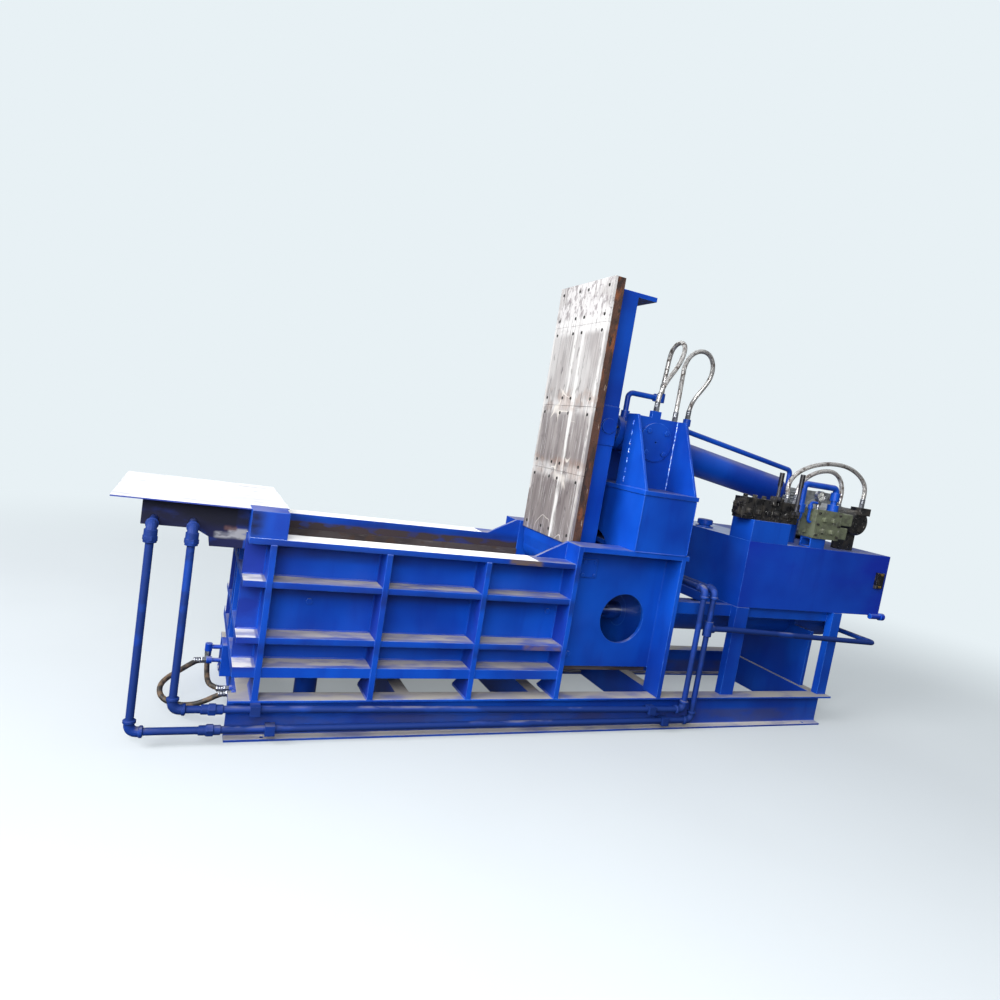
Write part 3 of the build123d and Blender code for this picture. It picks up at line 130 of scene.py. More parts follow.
BLOCK_PLUGS = ((0.070, 0.128), (0.150, 0.128), (0.070, 0.052), (0.150, 0.052))
PUMP = (1.990, 1.395)
PUMP_FACE = -0.400
PUMP_CIRCLE = 0.052
MOTOR_FACE = 0.000
MOTOR_RADIUS = 0.150
MOTOR_BOLTS = 0.128
MOTOR_FINS_Y = (0.055, 0.325)
MOTOR_FINS = 32
FIN_SHAPE = ((-0.004, 0.004), (0.013, 0.0022), (0.013, -0.0022), (-0.004, -0.004))
MOTOR_FOOT = -0.45
SIGHT_X = (2.195, 2.264)
SIGHT_Z = (0.966, 1.077)
SIGHT_FACE = -0.467
SIGHT_INSET = 0.013
TRUNNION = (0.340, 1.700)
LID_CYLINDER_DROP = 0.048 / 0.340
GLAND_REACH = 0.190
GLAND_CIRCLE = 0.082
RAM_FLANGE = (0.510, 0.0, 0.595)
RAM_CIRCLE = 0.130
DIAL = (1.560, -0.419, 1.535)
DIAL_RADIUS = 0.0286
DIAL_START = 225
DIAL_SWEEP = 270
DIAL_STEPS = 25
DIAL_NUMBERED = 5
DIAL_SIDES = 48
MARK_INK = 0.0003
MARK_OUTER = 0.93
LONG_MARK = (0.0215, 0.0008)
SHORT_MARK = (0.0238, 0.0004)
NUMBER_SIZE = 0.0062
NUMBER_CIRCLE = 0.0172
WINDOW_OUT = 0.0055
BEZEL_OUT = 0.0066
BEZEL = ((0, 0.0340), (0.0012, 0.0350), (0.0026, 0.0340), (0.0026, 0.0300), (0.0004, 0.0288))

# Nuts by corner radius and length, bolts by width over flats, cap screws by head radius and height
PIPE_NUT = (0.031, 0.024)
PIPE_NUT_DROP = 0.052
UNION_NUT = (0.029, 0.034)
SIDE_PLUG = 0.032
SIDE_PLUG_INSET = 0.040
FRONT_PLUG = 0.030
TOP_PLUG = 0.028
NOSE_BOLT = 0.014
MOTOR_BOLT = 0.024
SIGHT_BOLT = 0.013
FLANGE_BOLT = 0.027
PUMP_SCREW = (0.008, 0.009)
GLAND_SCREW = (0.010, 0.012)
BLOCK_SCREW_HEIGHT = 0.010
VALVE_SCREW_HEIGHT = 0.009
VALVE_SCREW_SHARE = 0.8
VALVE_SCREW_SPREAD = 0.32
VALVE_RISES = (0.020, 0.050)

# The loose hoses: name, node, slot, the bodies at its two ends, and its route in millimetres
HOSES = (
    ("lid_hose_rear", "hose_lid_rear", "silver_braid", ("frame", "lid_cylinder"), (
        (469, -201, 1845), (469, -201, 1905), (480, -187, 1970), (490, -173, 2043), (500, -159, 2121),
        (512, -143, 2205), (560, -127, 2276), (642, -111, 2318), (731, -94, 2308), (787, -77, 2242),
        (790, -61, 2162), (757, -43, 2090), (727, -20, 2026), (717, 0, 1958), (717, 0, 1889),
    )),
    ("lid_hose_front", "hose_lid_front", "silver_braid", ("lid_cylinder", "frame"), (
        (482, 0, 2017), (482, 0, 2078), (488, -2, 2155), (490, -4, 2238), (488, -22, 2298),
        (486, -71, 2333), (480, -131, 2333), (466, -180, 2298), (448, -199, 2240), (420, -203, 2172),
        (378, -204, 2106), (341, -203, 2036), (322, -201, 1960), (322, -201, 1885),
    )),
    ("pump_hose", "hose_pump", "silver_braid", ("frame", "frame"), (
        (1351, -350, 1462), (1351, -350, 1502), (1335, -349, 1550), (1342, -349, 1604),
        (1386, -349, 1658), (1466, -350, 1706), (1574, -352, 1743), (1697, -356, 1761),
        (1819, -360, 1756), (1920, -364, 1723), (1990, -368, 1671), (2014, -370, 1614),
        (2010, -370, 1554), (2010, -370, 1500),
    )),
    ("block_hose", "hose_block", "silver_braid", ("frame", "frame"), (
        (1380, -390, 1462), (1380, -390, 1506), (1388, -384, 1562), (1420, -378, 1614),
        (1486, -374, 1664), (1578, -372, 1700), (1676, -372, 1710), (1748, -374, 1676),
        (1784, -377, 1614), (1787, -380, 1552), (1778, -382, 1498), (1778, -382, 1446),
    )),
    ("ejector_hose_lower", "hose_ejector_lower", "black_rubber", ("frame", "frame"), (
        (-2010, -35, 224), (-2046, -35, 224), (-2086, -52, 205), (-2130, -78, 183), (-2176, -108, 163),
        (-2206, -142, 143), (-2212, -186, 120), (-2193, -228, 100), (-2154, -257, 90), (-2105, -277, 86),
        (-2052, -291, 96), (-2003, -300, 118), (-1962, -303, 143), (-1925, -303, 156), (-1894, -303, 156),
    )),
    ("ejector_hose_upper", "hose_ejector_upper", "black_rubber", ("frame", "frame"), (
        (-2002, 35, 250), (-2002, 35, 214), (-2001, 24, 178), (-1999, -4, 148), (-1996, -44, 130),
        (-1990, -88, 124), (-1976, -119, 121), (-1952, -143, 119), (-1922, -152, 118), (-1894, -152, 118),
    )),
)
MILLIMETRES = 1000
# The point of a hose's line that its end fitting aims at, and how many sides a tube has
NEAR_END = 4
TUBE_SIDES = 14

# Weld beads: ripple pitch, height of the lower ripples, of the run-outs, and how far they vary
BEAD_PITCH = 0.009
BEAD_LOW = 0.80
BEAD_RUNOUT = 0.35
BEAD_SPREAD = (0.92, 1.08)
BEAD_ANGLES = (-100, -50, 0, 50, 100, 180)

# Patterns that repeat at a real pitch: turns and bundles in a metre of braid, and the hose's wrap
BRAID_TURNS = 12.0
BRAID_BUNDLES = 115.0
WRAP_PITCH = 0.006

# The camera that sees the machine as photographed: millimetres, shares, degrees and metres
CAMERA_SENSOR = 36.0
CAMERA_LENS = 25.268
CAMERA_SHIFT = (-0.0014, 0.0055)
CAMERA_TURN = (24.35, 5.65, 9.26)
CAMERA_PLACE = (-2.1999, -3.7620, 1.5950)
CAMERA_REACH = 200.0

# The studio: name, setting that holds the power, place and side of each soft light
LIGHTS = (
    ("key_light", "key_power", (-10.4, -2.6, 6.9), 5.5),
    ("fill_light", "fill_power", (-3.0, -4.6, 2.9), 3.0),
    ("rear_light", "rear_power", (1.5, 5.0, 5.0), 3.0),
)
LIGHTS_AIM = (0.0, 0.0, 0.9)
PAPER = "#b4b9bd"
BACKDROP = "#e8f1f5"
PAPER_FADE = (3.2, 7.5)
PAPER_GLOW = 0.3
SKY_BLEND = (-0.1, 0.9)

# Where a face counts as looking one way, and the corner angles that count as a worn edge
FACING = (0.5, 0.9)
WORN_EDGE = (0.98, 0.75)
EVEN = (1, 1, 1)


# Colours and nodes

def linear(code):
    """Turn an sRGB hex value into linear red, green, blue and alpha."""
    shares = [int(code[i:i + 2], 16) / 255 for i in (1, 3, 5)]
    return (*[c / 12.92 if c <= 0.04045 else ((c + 0.055) / 1.055) ** 2.4 for c in shares], 1.0)


def add_node(tree, kind, inputs=(), out=None, **settings):
    """Add a node with its settings, values and links, and give back one of its outputs."""
    made = tree.nodes.new(kind)
    for name, value in settings.items():
        setattr(made, name, value)
    for name, value in dict(inputs).items():
        if isinstance(value, bpy.types.NodeSocket):
            tree.links.new(value, made.inputs[name])
        else:
            made.inputs[name].default_value = linear(value) if isinstance(value, str) else value
    if out:
        return made.outputs[out]
    return next((socket for socket in made.outputs if socket.enabled), made)


class Finish:
    """A material in the making: its node tree, the coordinates that its patterns lie on, and
    the colour and roughness laid so far."""

    def __init__(self, name, shade, gloss):
        self.material = bpy.data.materials.new(name)
        self.material.use_nodes = True
        self.tree = self.material.node_tree
        self.tree.nodes.clear()
        self.place = add_node(self.tree, "ShaderNodeTexCoord", out="Object")
        self.shade = shade
        self.gloss = gloss
        self.bump = {"Strength": 1.0}

    def mottle(self, size, start, full, most=1.0, detail=3.0, stretch=EVEN, least=0.0, within=()):
        """A mask of soft patches of a real size in metres, from least where the noise is below
        start to most where it is above full, kept to the places where other masks are, too."""
        scale = [share / size for share in stretch]
        spread = add_node(
            self.tree, "ShaderNodeVectorMath", {0: self.place, 1: scale}, operation="MULTIPLY"
        )
        grain = {"Vector": spread, "Scale": 1.0, "Detail": detail}
        noise = add_node(self.tree, "ShaderNodeTexNoise", grain)
        limits = {"Value": noise, "From Min": start, "From Max": full, "To Min": least, "To Max": most}
        mask = add_node(self.tree, "ShaderNodeMapRange", limits, interpolation_type="SMOOTHSTEP")
        for other in within:
            mask = add_node(self.tree, "ShaderNodeMath", {0: mask, 1: other}, operation="MULTIPLY")
        return mask

    def facing(self, direction):
        """A mask of the faces that look one way on the machine at rest."""
        sides = {0: add_node(self.tree, "ShaderNodeTexCoord", out="Normal"), 1: direction}
        same = add_node(self.tree, "ShaderNodeVectorMath", sides, out="Value", operation="DOT_PRODUCT")
        limits = {"Value": same, "From Min": FACING[0], "From Max": FACING[1]}
        return add_node(self.tree, "ShaderNodeMapRange", limits, interpolation_type="SMOOTHSTEP")

    def inside(self, low, high, soft, most=1.0):
        """A mask that is whole between two corners and fades out over a soft border."""
        middle = [(a + b) / 2 for a, b in zip(low, high)]
        half = [(b - a) / 2 for a, b in zip(low, high)]
        steps = (("SUBTRACT", middle), ("ABSOLUTE", ORIGIN), ("SUBTRACT", half), ("MAXIMUM", ORIGIN))
        offset = self.place
        for step, value in steps:
            offset = add_node(self.tree, "ShaderNodeVectorMath", {0: offset, 1: value}, operation=step)
        away = add_node(self.tree, "ShaderNodeVectorMath", {0: offset}, out="Value", operation="LENGTH")
        limits = {"Value": away, "From Min": soft, "From Max": 0.0, "To Max": most}
        return add_node(self.tree, "ShaderNodeMapRange", limits, interpolation_type="SMOOTHSTEP")

    def edges(self, radius):
        """Rounded plate edges, and a mask of the band that rubbing wears first."""
        rounded = add_node(self.tree, "ShaderNodeBevel", {"Radius": radius}, samples=4)
        self.bump["Normal"] = rounded
        sides = {0: rounded, 1: add_node(self.tree, "ShaderNodeNewGeometry", out="Normal")}
        same = add_node(self.tree, "ShaderNodeVectorMath", sides, out="Value", operation="DOT_PRODUCT")
        limits = {"Value": same, "From Min": WORN_EDGE[0], "From Max": WORN_EDGE[1]}
        return add_node(self.tree, "ShaderNodeMapRange", limits)

    def lay(self, mask, shade, gloss=None):
        """Lay a colour, and its own roughness if it has one, over the look by a mask."""
        colours = {0: mask, 6: self.shade, 7: shade}
        self.shade = add_node(self.tree, "ShaderNodeMix", colours, data_type="RGBA")
        if gloss is not None:
            sheens = {0: mask, 2: self.gloss, 3: gloss}
            self.gloss = add_node(self.tree, "ShaderNodeMix", sheens, data_type="FLOAT")

    def patches(self, shade, gloss, *span, **more):
        """Lay a colour and a roughness over the look in soft patches. The span is their size, the
        noise where they start and are full, and then how strong, how detailed and how stretched."""
        self.lay(self.mottle(*span, **more), shade, gloss)

    def done(self, relief, depth, **values):
        """The surface itself: colour, gloss and relief on one shader."""
        bump = {**self.bump, "Height": relief, "Distance": depth}
        inputs = {
            "Base Color": self.shade,
            "Roughness": self.gloss,
            "Normal": add_node(self.tree, "ShaderNodeBump", bump),
            **{name.replace("_", " "): value for name, value in values.items()},
        }
        surface = add_node(self.tree, "ShaderNodeBsdfPrincipled", inputs)
        add_node(self.tree, "ShaderNodeOutputMaterial", {"Surface": surface})
        return self.material


# Finishes, each named for what the real surface is

def machine_enamel(name, dust, rust, marks=(), gloss=0.33):
    """Alkyd machine enamel sprayed on hot-rolled plate: a deep blue with a soft, slightly
    orange-peeled gloss that drifts in tone, rubbed paler at the edges in a lighter blue that is
    also a painted edge highlight, chipped to rust there, under grey workshop dust on whatever
    faces up. The marks are places with their own dirt, and places of painted shade and painted
    highlight: two corners, border, facing, patch size, coverage and colour."""
    paint = bpy.context.scene.baler_paint
    skin = Finish(name, (*paint.enamel, 1), gloss)
    edges = (skin.edges(0.0045),)
    above = (skin.facing(UP),)
    skin.patches((*paint.enamel_shade, 1), None, 0.55, 0.32, 0.68)  # thicker coats
    skin.patches("#05207e", gloss + 0.10, 0.09, 0.50, 0.80, 0.35, 4.0, (1, 1, 0.22))  # runs
    skin.patches("#8d8f97", 0.6, 0.30, 0.45, 0.80, 0.03 * dust)  # a film of dust
    skin.patches("#4b8cf0", None, 0.045, 0.36, 0.56, 0.8, least=0.15, within=edges)  # rubbed edges, in a lighter blue that is also a painted edge highlight
    skin.patches("#4f3526", 0.8, 0.022, 0.58, 0.64, rust, within=edges)  # chips
    settled = (0.09, 0.38, 0.62, dust, 6.0, (0.5, 1, 1), 0.25 * dust, above)
    skin.patches((*paint.dust, 1), 0.85, *settled)
    for low, high, soft, aim, size, most, shade in marks:
        spot = [skin.inside(low, high, soft)]
        if aim:
            spot.append(skin.facing(aim))
        skin.patches(shade, 0.65, size, 0.38, 0.58, most, 6.0, (0.4, 1, 1), most * 0.35, spot)
    peel = skin.mottle(0.004, 0.2, 0.8, detail=1.0)
    return skin.done(peel, 0.00025, IOR=1.5, Specular_IOR_Level=0.25)


def painted_bead(name):
    """Enamel over a weld bead: matt in the hollows and glossier on the crests, with light-blue
    and near-white dots painted along it as the bright glints of its ripples."""
    skin = Finish(name, (*bpy.context.scene.baler_paint.enamel, 1), 0.6)
    skin.patches("#1a58cc", 0.5, 0.05, 0.36, 0.60)
    # light-blue and near-white dots: painted glints
    skin.patches("#8fbcff", 0.25, 0.018, 0.50, 0.58)
    skin.patches("#eef5ff", 0.2, 0.014, 0.56, 0.62, 0.9)
    return skin.done(skin.mottle(0.003, 0.3, 0.7), 0.0003, IOR=1.5)


def wear_plate(name):
    """Abrasion-resistant steel plate, polished by scrap: warm grey metal, nearly white at
    the top and darker lower down, with white and dark scratches that run up and down it,
    white scoured streaks between the columns, a white line near each side edge painted as an
    edge highlight, and brown stains and pale curls at the seams."""
    skin = Finish(name, "#b3acab", 0.42)
    skin.patches("#8f8889", 0.5, 0.06, 0.40, 0.62, 1.0, 6.0, (1, 1, 0.16))
    upper = skin.inside((-1, -1, 1.98), (1, 1, 2.7), 0.30)
    skin.patches("#d9d6d5", 0.4, 0.15, 0.40, 0.56, 0.9, 6.0, (1, 1, 0.3), 0.35, (upper,))
    skin.lay(skin.inside((-1, -1, 0.9), (1, 1, 1.30), 0.60, 0.5), "#766c6b", 0.5)
    top = (skin.inside((-1, -1, 2.33), (1, 1, 2.7), 0.06),)
    skin.patches("#efecec", 0.38, 0.20, 0.34, 0.44, detail=4.0, within=top)
    skin.patches("#8c8387", 0.6, 0.024, 0.52, 0.62, 0.75, 6.0, (1, 1, 0.6), within=top)
    for row, reach, most in SCOURED_SEAMS:
        z = LID_ROWS[row]
        band = (skin.inside((-1, -1, z - reach), (1, 1, z + reach), 0.05),)
        skin.patches("#fdfbfa", 0.3, 0.09, 0.34, 0.48, most, 5.0, (1, 0.5, 1), within=band)
    skin.patches("#6b6364", 0.55, 0.012, 0.52, 0.68, 0.55, 4.0, (1, 1, 0.03))
    # white scoured streaks, and the painted edge highlights near the plate's sides
    for low_y, high_y, low_z, most in SCOURED_AND_EDGE_HIGHLIGHT_LINES:
        line = (skin.inside((-1, low_y, low_z), (1, high_y, 2.32), 0.020),)
        skin.patches("#fffdfb", 0.3, 0.04, 0.36, 0.60, most, 5.0, (1, 1, 0.14), within=line)
    for row, height in SEAM_STAINS[:2]:
        seam = (skin.inside((-1, -1, LID_ROWS[row] - 0.01), (1, 1, LID_ROWS[row] + height), 0.04),)
        skin.patches("#a5836f", 0.6, 0.07, 0.42, 0.60, 0.38, 5.0, within=seam)
    for row, height in SEAM_STAINS:
        z = LID_ROWS[row]
        seam = (skin.inside((-1, -0.24, z - 0.06), (1, 0.16, z + height), 0.05),)
        rise = (skin.mottle(0.12, 0.484, 0.490, 1.0, 0.0, (1, 1, 0.6), within=seam),)
        skin.patches("#fff8f0", 0.3, 0.12, 0.504, 0.498, 0.75, 0.0, (1, 1, 0.6), within=rise)
    scratch = skin.mottle(0.006, 0.60, 0.70, 0.7, 2.0, (1, 1, 0.02))
    skin.lay(scratch, "#ffffff", 0.25)
    skin.patches("#544d50", 0.6, 0.035, 0.60, 0.70, 0.6, 6.0, (1, 1, 0.35))
    return skin.done(scratch, 0.0005, Metallic=0.45)


def rusty_plate(name):
    """Hot-rolled plate left bare at its flame-cut edge: brown, grainy rust with orange
    freshly wet patches, drag lines from the torch and a few bright scrapes from scrap."""
    skin = Finish(name, "#291a16", 0.82)
    edges = (skin.edges(0.003),)
    skin.patches("#4b2f23", None, 0.06, 0.38, 0.60, 1.0, 6.0, (1, 1, 0.4))
    skin.patches("#74401f", None, 0.05, 0.54, 0.68, 0.8, 6.0, (1, 1, 0.4))
    skin.patches("#130e0e", 0.6, 0.04, 0.56, 0.68, detail=5.0)
    skin.patches("#b7a294", 0.5, 0.012, 0.68, 0.73, 0.6, 3.0, (1, 1, 0.15))
    skin.patches("#a38c7e", 0.5, 0.02, 0.45, 0.60, 0.4, within=edges)
    return skin.done(skin.mottle(0.006, 0.3, 0.7, detail=6.0), 0.0012)


def worn_liner(name):
    """Wear-steel liner in daily use: dark, slightly brown grey metal with rust patches, scored
    along the machine by the bales, with a dull sheen on the high spots."""
    skin = Finish(name, "#3b3436", 0.55)
    skin.patches("#544d4e", None, 0.20, 0.35, 0.62, 1.0, 6.0, (0.6, 1, 1))
    skin.patches("#4f3b30", 0.75, 0.08, 0.54, 0.66, 0.6, 6.0)
    score = skin.mottle(0.010, 0.58, 0.72, 0.5, 3.0, (0.08, 1, 1))
    skin.lay(score, "#8f8a89", 0.36)
    return skin.done(score, 0.0008, Metallic=0.5)


def bare_tray(name):
    """Cold-rolled sheet scoured bright by scrap sliding over it: near white under the
    sky, with fine long scratches and a few grey scuffs, and blue paint left on the edges
    and below, where it is painted a darker navy as shade."""
    skin = Finish(name, "#ececee", 0.42)
    skin.patches("#d2d2d8", None, 0.25, 0.40, 0.66, detail=5.0)
    skin.patches("#96969f", 0.6, 0.05, 0.58, 0.70, 0.7, 6.0, (0.3, 1, 1))
    for side in (NEAR, FAR, LOCK_WAY):
        skin.lay(skin.facing(side), "#14308a", 0.45)
    # the faces that look down get a darker navy: painted shade
    skin.lay(skin.facing(DOWN), "#0b1238", 0.5)
    scratch = skin.mottle(0.006, 0.58, 0.70, 1.0, 2.0, (0.05, 1, 1))
    return skin.done(scratch, 0.0004, Metallic=0.15)


def oily_casting(name, body, grime, gloss, dust="#7f7a70"):
    """Sand-cast iron in a thin factory coat under hydraulic oil: a grainy, dark skin, glossy
    where the oil has run, with pale streaks painted there as highlights, and matt dirt where it has dried."""
    skin = Finish(name, body, 0.7)
    edges = (skin.edges(0.0025),)
    above = (skin.facing(UP),)
    skin.patches(grime, None, 0.05, 0.38, 0.62, detail=5.0)
    skin.patches("#8b8a84", None, 0.012, 0.50, 0.62, 0.6, within=edges)
    skin.patches(dust, 0.85, 0.03, 0.45, 0.65, 0.4, 5.0, within=above)
    skin.patches(body, gloss, 0.045, 0.47, 0.58, 0.85, 4.0)
    # pale glossy streaks: painted highlights of the oil runs
    skin.patches("#a9a7a2", 0.2, 0.010, 0.67, 0.73, 0.7, 2.0, (1, 1, 0.3))
    grain = skin.mottle(0.0035, 0.25, 0.75, detail=4.0)
    return skin.done(grain, 0.0006, IOR=1.5, Coat_Weight=0.25)


def phenolic_grip(name):
    """Moulded phenolic knob on a greasy steel rod: black, hard and softly glossy, worn grey
    where hands close on it, with a sheen of grease on the rod below."""
    skin = Finish(name, "#15151a", 0.28)
    skin.patches("#3d3c40", 0.5, 0.01, 0.45, 0.70, 0.35, 4.0)
    rods = (skin.inside(*LEVER_RODS, 0.002),)
    skin.patches("#3a3a42", 0.35, 0.02, 0.35, 0.60, least=0.4, within=rods)
    return skin.done(skin.mottle(0.002, 0.3, 0.7), 0.0001, IOR=1.5)


def steel_braid(name):
    """Stainless wire braid over a hose: flat bundles of bright wire, woven over and under
    at about 54 degrees, with dark gaps. The bundles are drawn 5 mm wide, coarser than real
    ones, so that the weave shows."""
    skin = Finish(name, "#57504e", 0.5)
    tree = skin.tree
    wrap = add_node(tree, "ShaderNodeUVMap", uv_map="braid")
    along = add_node(tree, "ShaderNodeSeparateXYZ", {0: wrap}, out="X")
    around = add_node(tree, "ShaderNodeSeparateXYZ", {0: wrap}, out="Y")
    weave = 1.0
    for turn in (BRAID_TURNS, -BRAID_TURNS):
        climb = add_node(tree, "ShaderNodeMath", {0: around, 1: turn}, operation="MULTIPLY")
        step = {0: along, 1: BRAID_BUNDLES, 2: climb}
        phase = add_node(tree, "ShaderNodeMath", step, operation="MULTIPLY_ADD")
        angle = add_node(tree, "ShaderNodeMath", {0: phase, 1: math.pi}, operation="MULTIPLY")
        wave = add_node(tree, "ShaderNodeMath", {0: angle}, operation="SINE")
        bundle = add_node(tree, "ShaderNodeMath", {0: wave}, operation="ABSOLUTE")
        weave = add_node(tree, "ShaderNodeMath", {0: bundle, 1: weave}, operation="MULTIPLY")
    wires = add_node(tree, "ShaderNodeMapRange", {"Value": weave, "From Min": 0.05, "From Max": 0.45})
    skin.lay(wires, "#f4f2ef", 0.24)
    skin.patches("#4f423c", 0.55, 0.022, 0.52, 0.62, 0.85, 4.0)
    return skin.done(wires, 0.0012, Metallic=0.7)


def rubber_hose(name):
    """Nitrile rubber hose cover with a wrapped finish: dull black going brown with age,
    with the cloth wrap's fine rings and dried mud on it."""
    skin = Finish(name, "#1c1917", 0.6)
    skin.patches("#6b5540", 0.85, 0.04, 0.45, 0.62, 0.65, 5.0)
    wrap = add_node(skin.tree, "ShaderNodeUVMap", uv_map="braid")
    along = add_node(skin.tree, "ShaderNodeSeparateXYZ", {0: wrap}, out="X")
    pitch = {0: along, 1: 2 * math.pi / WRAP_PITCH}
    angle = add_node(skin.tree, "ShaderNodeMath", pitch, operation="MULTIPLY")
    ring = add_node(skin.tree, "ShaderNodeMath", {0: angle}, operation="SINE")
    return skin.done(ring, 0.0002, IOR=1.52)


def gauge_glass(name):
    """Flat window glass over the dial: clear, with a hard, sharp sheen and a greasy smear."""
    skin = Finish(name, "#ffffff", 0.0)
    skin.gloss = skin.mottle(0.02, 0.45, 0.7, 0.12, least=0.02)
    return skin.done(skin.mottle(0.03, 0.4, 0.6), 0.00001, IOR=1.5, Transmission_Weight=1.0)


def studio_paper(name):
    """Matt pale studio paper with the faintest tooth. It glows a little, as on a light table,
    so that it stays pale in shadow, and it runs out into the backdrop a few metres away."""
    skin = Finish(name, PAPER, 0.9)
    tree = skin.tree
    away = add_node(tree, "ShaderNodeVectorMath", {0: skin.place}, out="Value", operation="LENGTH")
    limits = {"Value": away, "From Min": PAPER_FADE[0], "From Max": PAPER_FADE[1], "To Min": PAPER_GLOW}
    far = add_node(tree, "ShaderNodeMapRange", limits, interpolation_type="SMOOTHSTEP")
    tooth = {"Height": skin.mottle(0.004, 0.3, 0.7), "Distance": 0.0001}
    relief = add_node(tree, "ShaderNodeBump", tooth)
    skin.patches("#a9adb1", None, 1.5, 0.4, 0.7, 0.2)
    matt = {"Base Color": skin.shade, "Roughness": skin.gloss, "Normal": relief}
    near = add_node(tree, "ShaderNodeBsdfPrincipled", matt)
    haze = add_node(tree, "ShaderNodeEmission", {"Color": BACKDROP, "Strength": 1.0})
    both = add_node(tree, "ShaderNodeMixShader", {0: far, 1: near, 2: haze})
    add_node(tree, "ShaderNodeOutputMaterial", {"Surface": both})
    return skin.material


def plain_finish(name, shade, gloss, spots, grain, depth, values):
    """An even surface with one kind of patch on it and a fine relief."""
    skin = Finish(name, shade, gloss)
    skin.patches(*spots)
    return skin.done(skin.mottle(*grain), depth, **values)


# White scoured streaks of the wear plates, and a white line near each side edge that is a painted edge
# highlight: from and to across the lid, lower end, strength
SCOURED_AND_EDGE_HIGHLIGHT_LINES = (
    (-0.076, -0.058, 1.02, 1.3), (0.022, 0.030, 1.85, 0.9), (-0.300, -0.296, 1.05, 0.9),
    (0.302, 0.306, 1.30, 0.7),
)
# Seams of the wear plates that are scoured white: row, half the band's height and strength
SCOURED_SEAMS = ((3, 0.022, 1.0), (2, 0.012, 0.6), (1, 0.014, 0.55))
# Seams of the wear plates that are stained or curled, by row, and how high above them
SEAM_STAINS = ((2, 0.075), (1, 0.060), (0, 0.090))

# Marks on the enamel, as machine_enamel lists them
LEDGE_SPANS = tuple((z - 0.012, z + 0.012) for z in LEDGE_TOPS)
# Bands of painted shade, with some grime, under the rim and each ledge: lowest, highest and soft border
SHADE_UNDER_LEDGES = ((0.890, 0.937, 0.05), (0.700, 0.738, 0.05), (0.445, 0.472, 0.04))
SMEARED = (0.02, NEAR, 0.15, 1.7, "#10153f")
SCUFFED = (0.016, NEAR, 0.02, 1.2, "#8e8f94")
WALL_MARKS = (
    # near-white rim tops: worn, and painted near white as a highlight as well
    ((-1.93, -0.49, 0.955), (-0.45, 0.49, 1.0), 0.004, UP, 0.5, 2.8, "#efeeec"),
    *(
        ((-1.80, -0.45, low), (-0.19, 0.45, high), 0.02, UP, 0.06, 1.0, "#a39e9b")
        for low, high in LEDGE_SPANS
    ),
    *(
        ((-1.93, -0.5, low), (-1.84, 0.5, high), 0.01, UP, 0.08, 1.1, "#cfcdcd")
        for low, high in LEDGE_SPANS
    ),
    # painted shade, with some grime, on the near faces under the rim and the ledges
    *(
        ((-1.93, -0.50, low), (-0.19, 0.50, high), soft, NEAR, 0.2, 0.5, "#060a30")
        for low, high, soft in SHADE_UNDER_LEDGES
    ),
    ((-0.60, -0.51, 0.940), (-0.44, -0.49, 0.966), 0.03, NEAR, 0.03, 0.8, "#5f4f35"),
    ((-0.44, -0.51, 0.472), (-0.24, -0.40, 0.502), 0.03, NEAR, 0.03, 0.6, "#6b5545"),
    # painted shadow on the end bay of the walls, which lies under the tray
    ((-1.93, -0.50, 0.360), (-1.84, 0.50, 0.900), 0.03, NEAR, 0.20, 1.5, "#0a2a86"),
    # painted shade on every face that looks toward the lock end
    ((-1.90, -0.51, 0.200), (-0.15, 0.51, 0.930), 0.03, LOCK_WAY, 0.30, 1.0, "#0a3096"),
    ((-1.93, -0.345, 0.88), (-0.19, 0.345, 0.915), 0.016, None, 0.05, 1.7, "#352c30"),
)
BEAM_MARKS = (
    ((-1.93, -0.51, 0.19), (1.95, 0.51, 0.21), 0.004, UP, 0.12, 1.0, "#9b9793"),
    ((-1.93, -0.51, 0.00), (1.95, 0.51, 0.02), 0.004, UP, 0.16, 1.3, "#b5b1ad"),
    ((-1.93, -0.51, 0.02), (1.95, 0.51, 0.09), 0.03, NEAR, 0.10, 0.5, "#3f3e4a"),
)
LOCK_MARKS = (
    ((-2.40, -0.60, 0.800), (-1.98, 0.60, 1.100), *SMEARED),
    # painted shadow, near black, under the tray's overhanging edge
    ((-2.40, -0.60, 1.000), (-1.90, 0.60, 1.100), 0.07, NEAR, 0.15, 0.95, "#04071c"),
    ((-2.00, -0.60, 0.850), (-1.94, 0.60, 0.930), *SMEARED),
    ((-2.05, -0.60, 0.930), (-1.92, 0.60, 0.940), *SCUFFED),
    ((-1.99, -0.60, 0.935), (-1.92, 0.60, 0.960), *SCUFFED),
    ((-2.01, -0.60, 0.966), (-1.97, 0.60, 0.972), 0.015, NEAR, 0.02, 0.9, "#533a3c"),
)
# The pipes painted darker all over, as shade
PIPE_SHADE = (((-3, -1, 0), (3, 1, 3), 0.1, None, 0.20, 1.8, "#0a2868"),)
TANK_MARKS = (
    # painted shade on the tank's near faces, then a pale blue-white patch on its top faces
    ((-3, -1, 0), (3, 1, 3), 0.1, NEAR, 0.60, 1.0, "#04259a"),
    ((0.6, -1, 1.0), (1.3, 1, 1.6), 0.15, UP, 0.12, 1.8, "#b4c0da"),
)

METAL = {"Metallic": 1.0}
DIAL_SPOTS = ("#77756c", None, 0.02, 0.45, 0.7, 0.15)

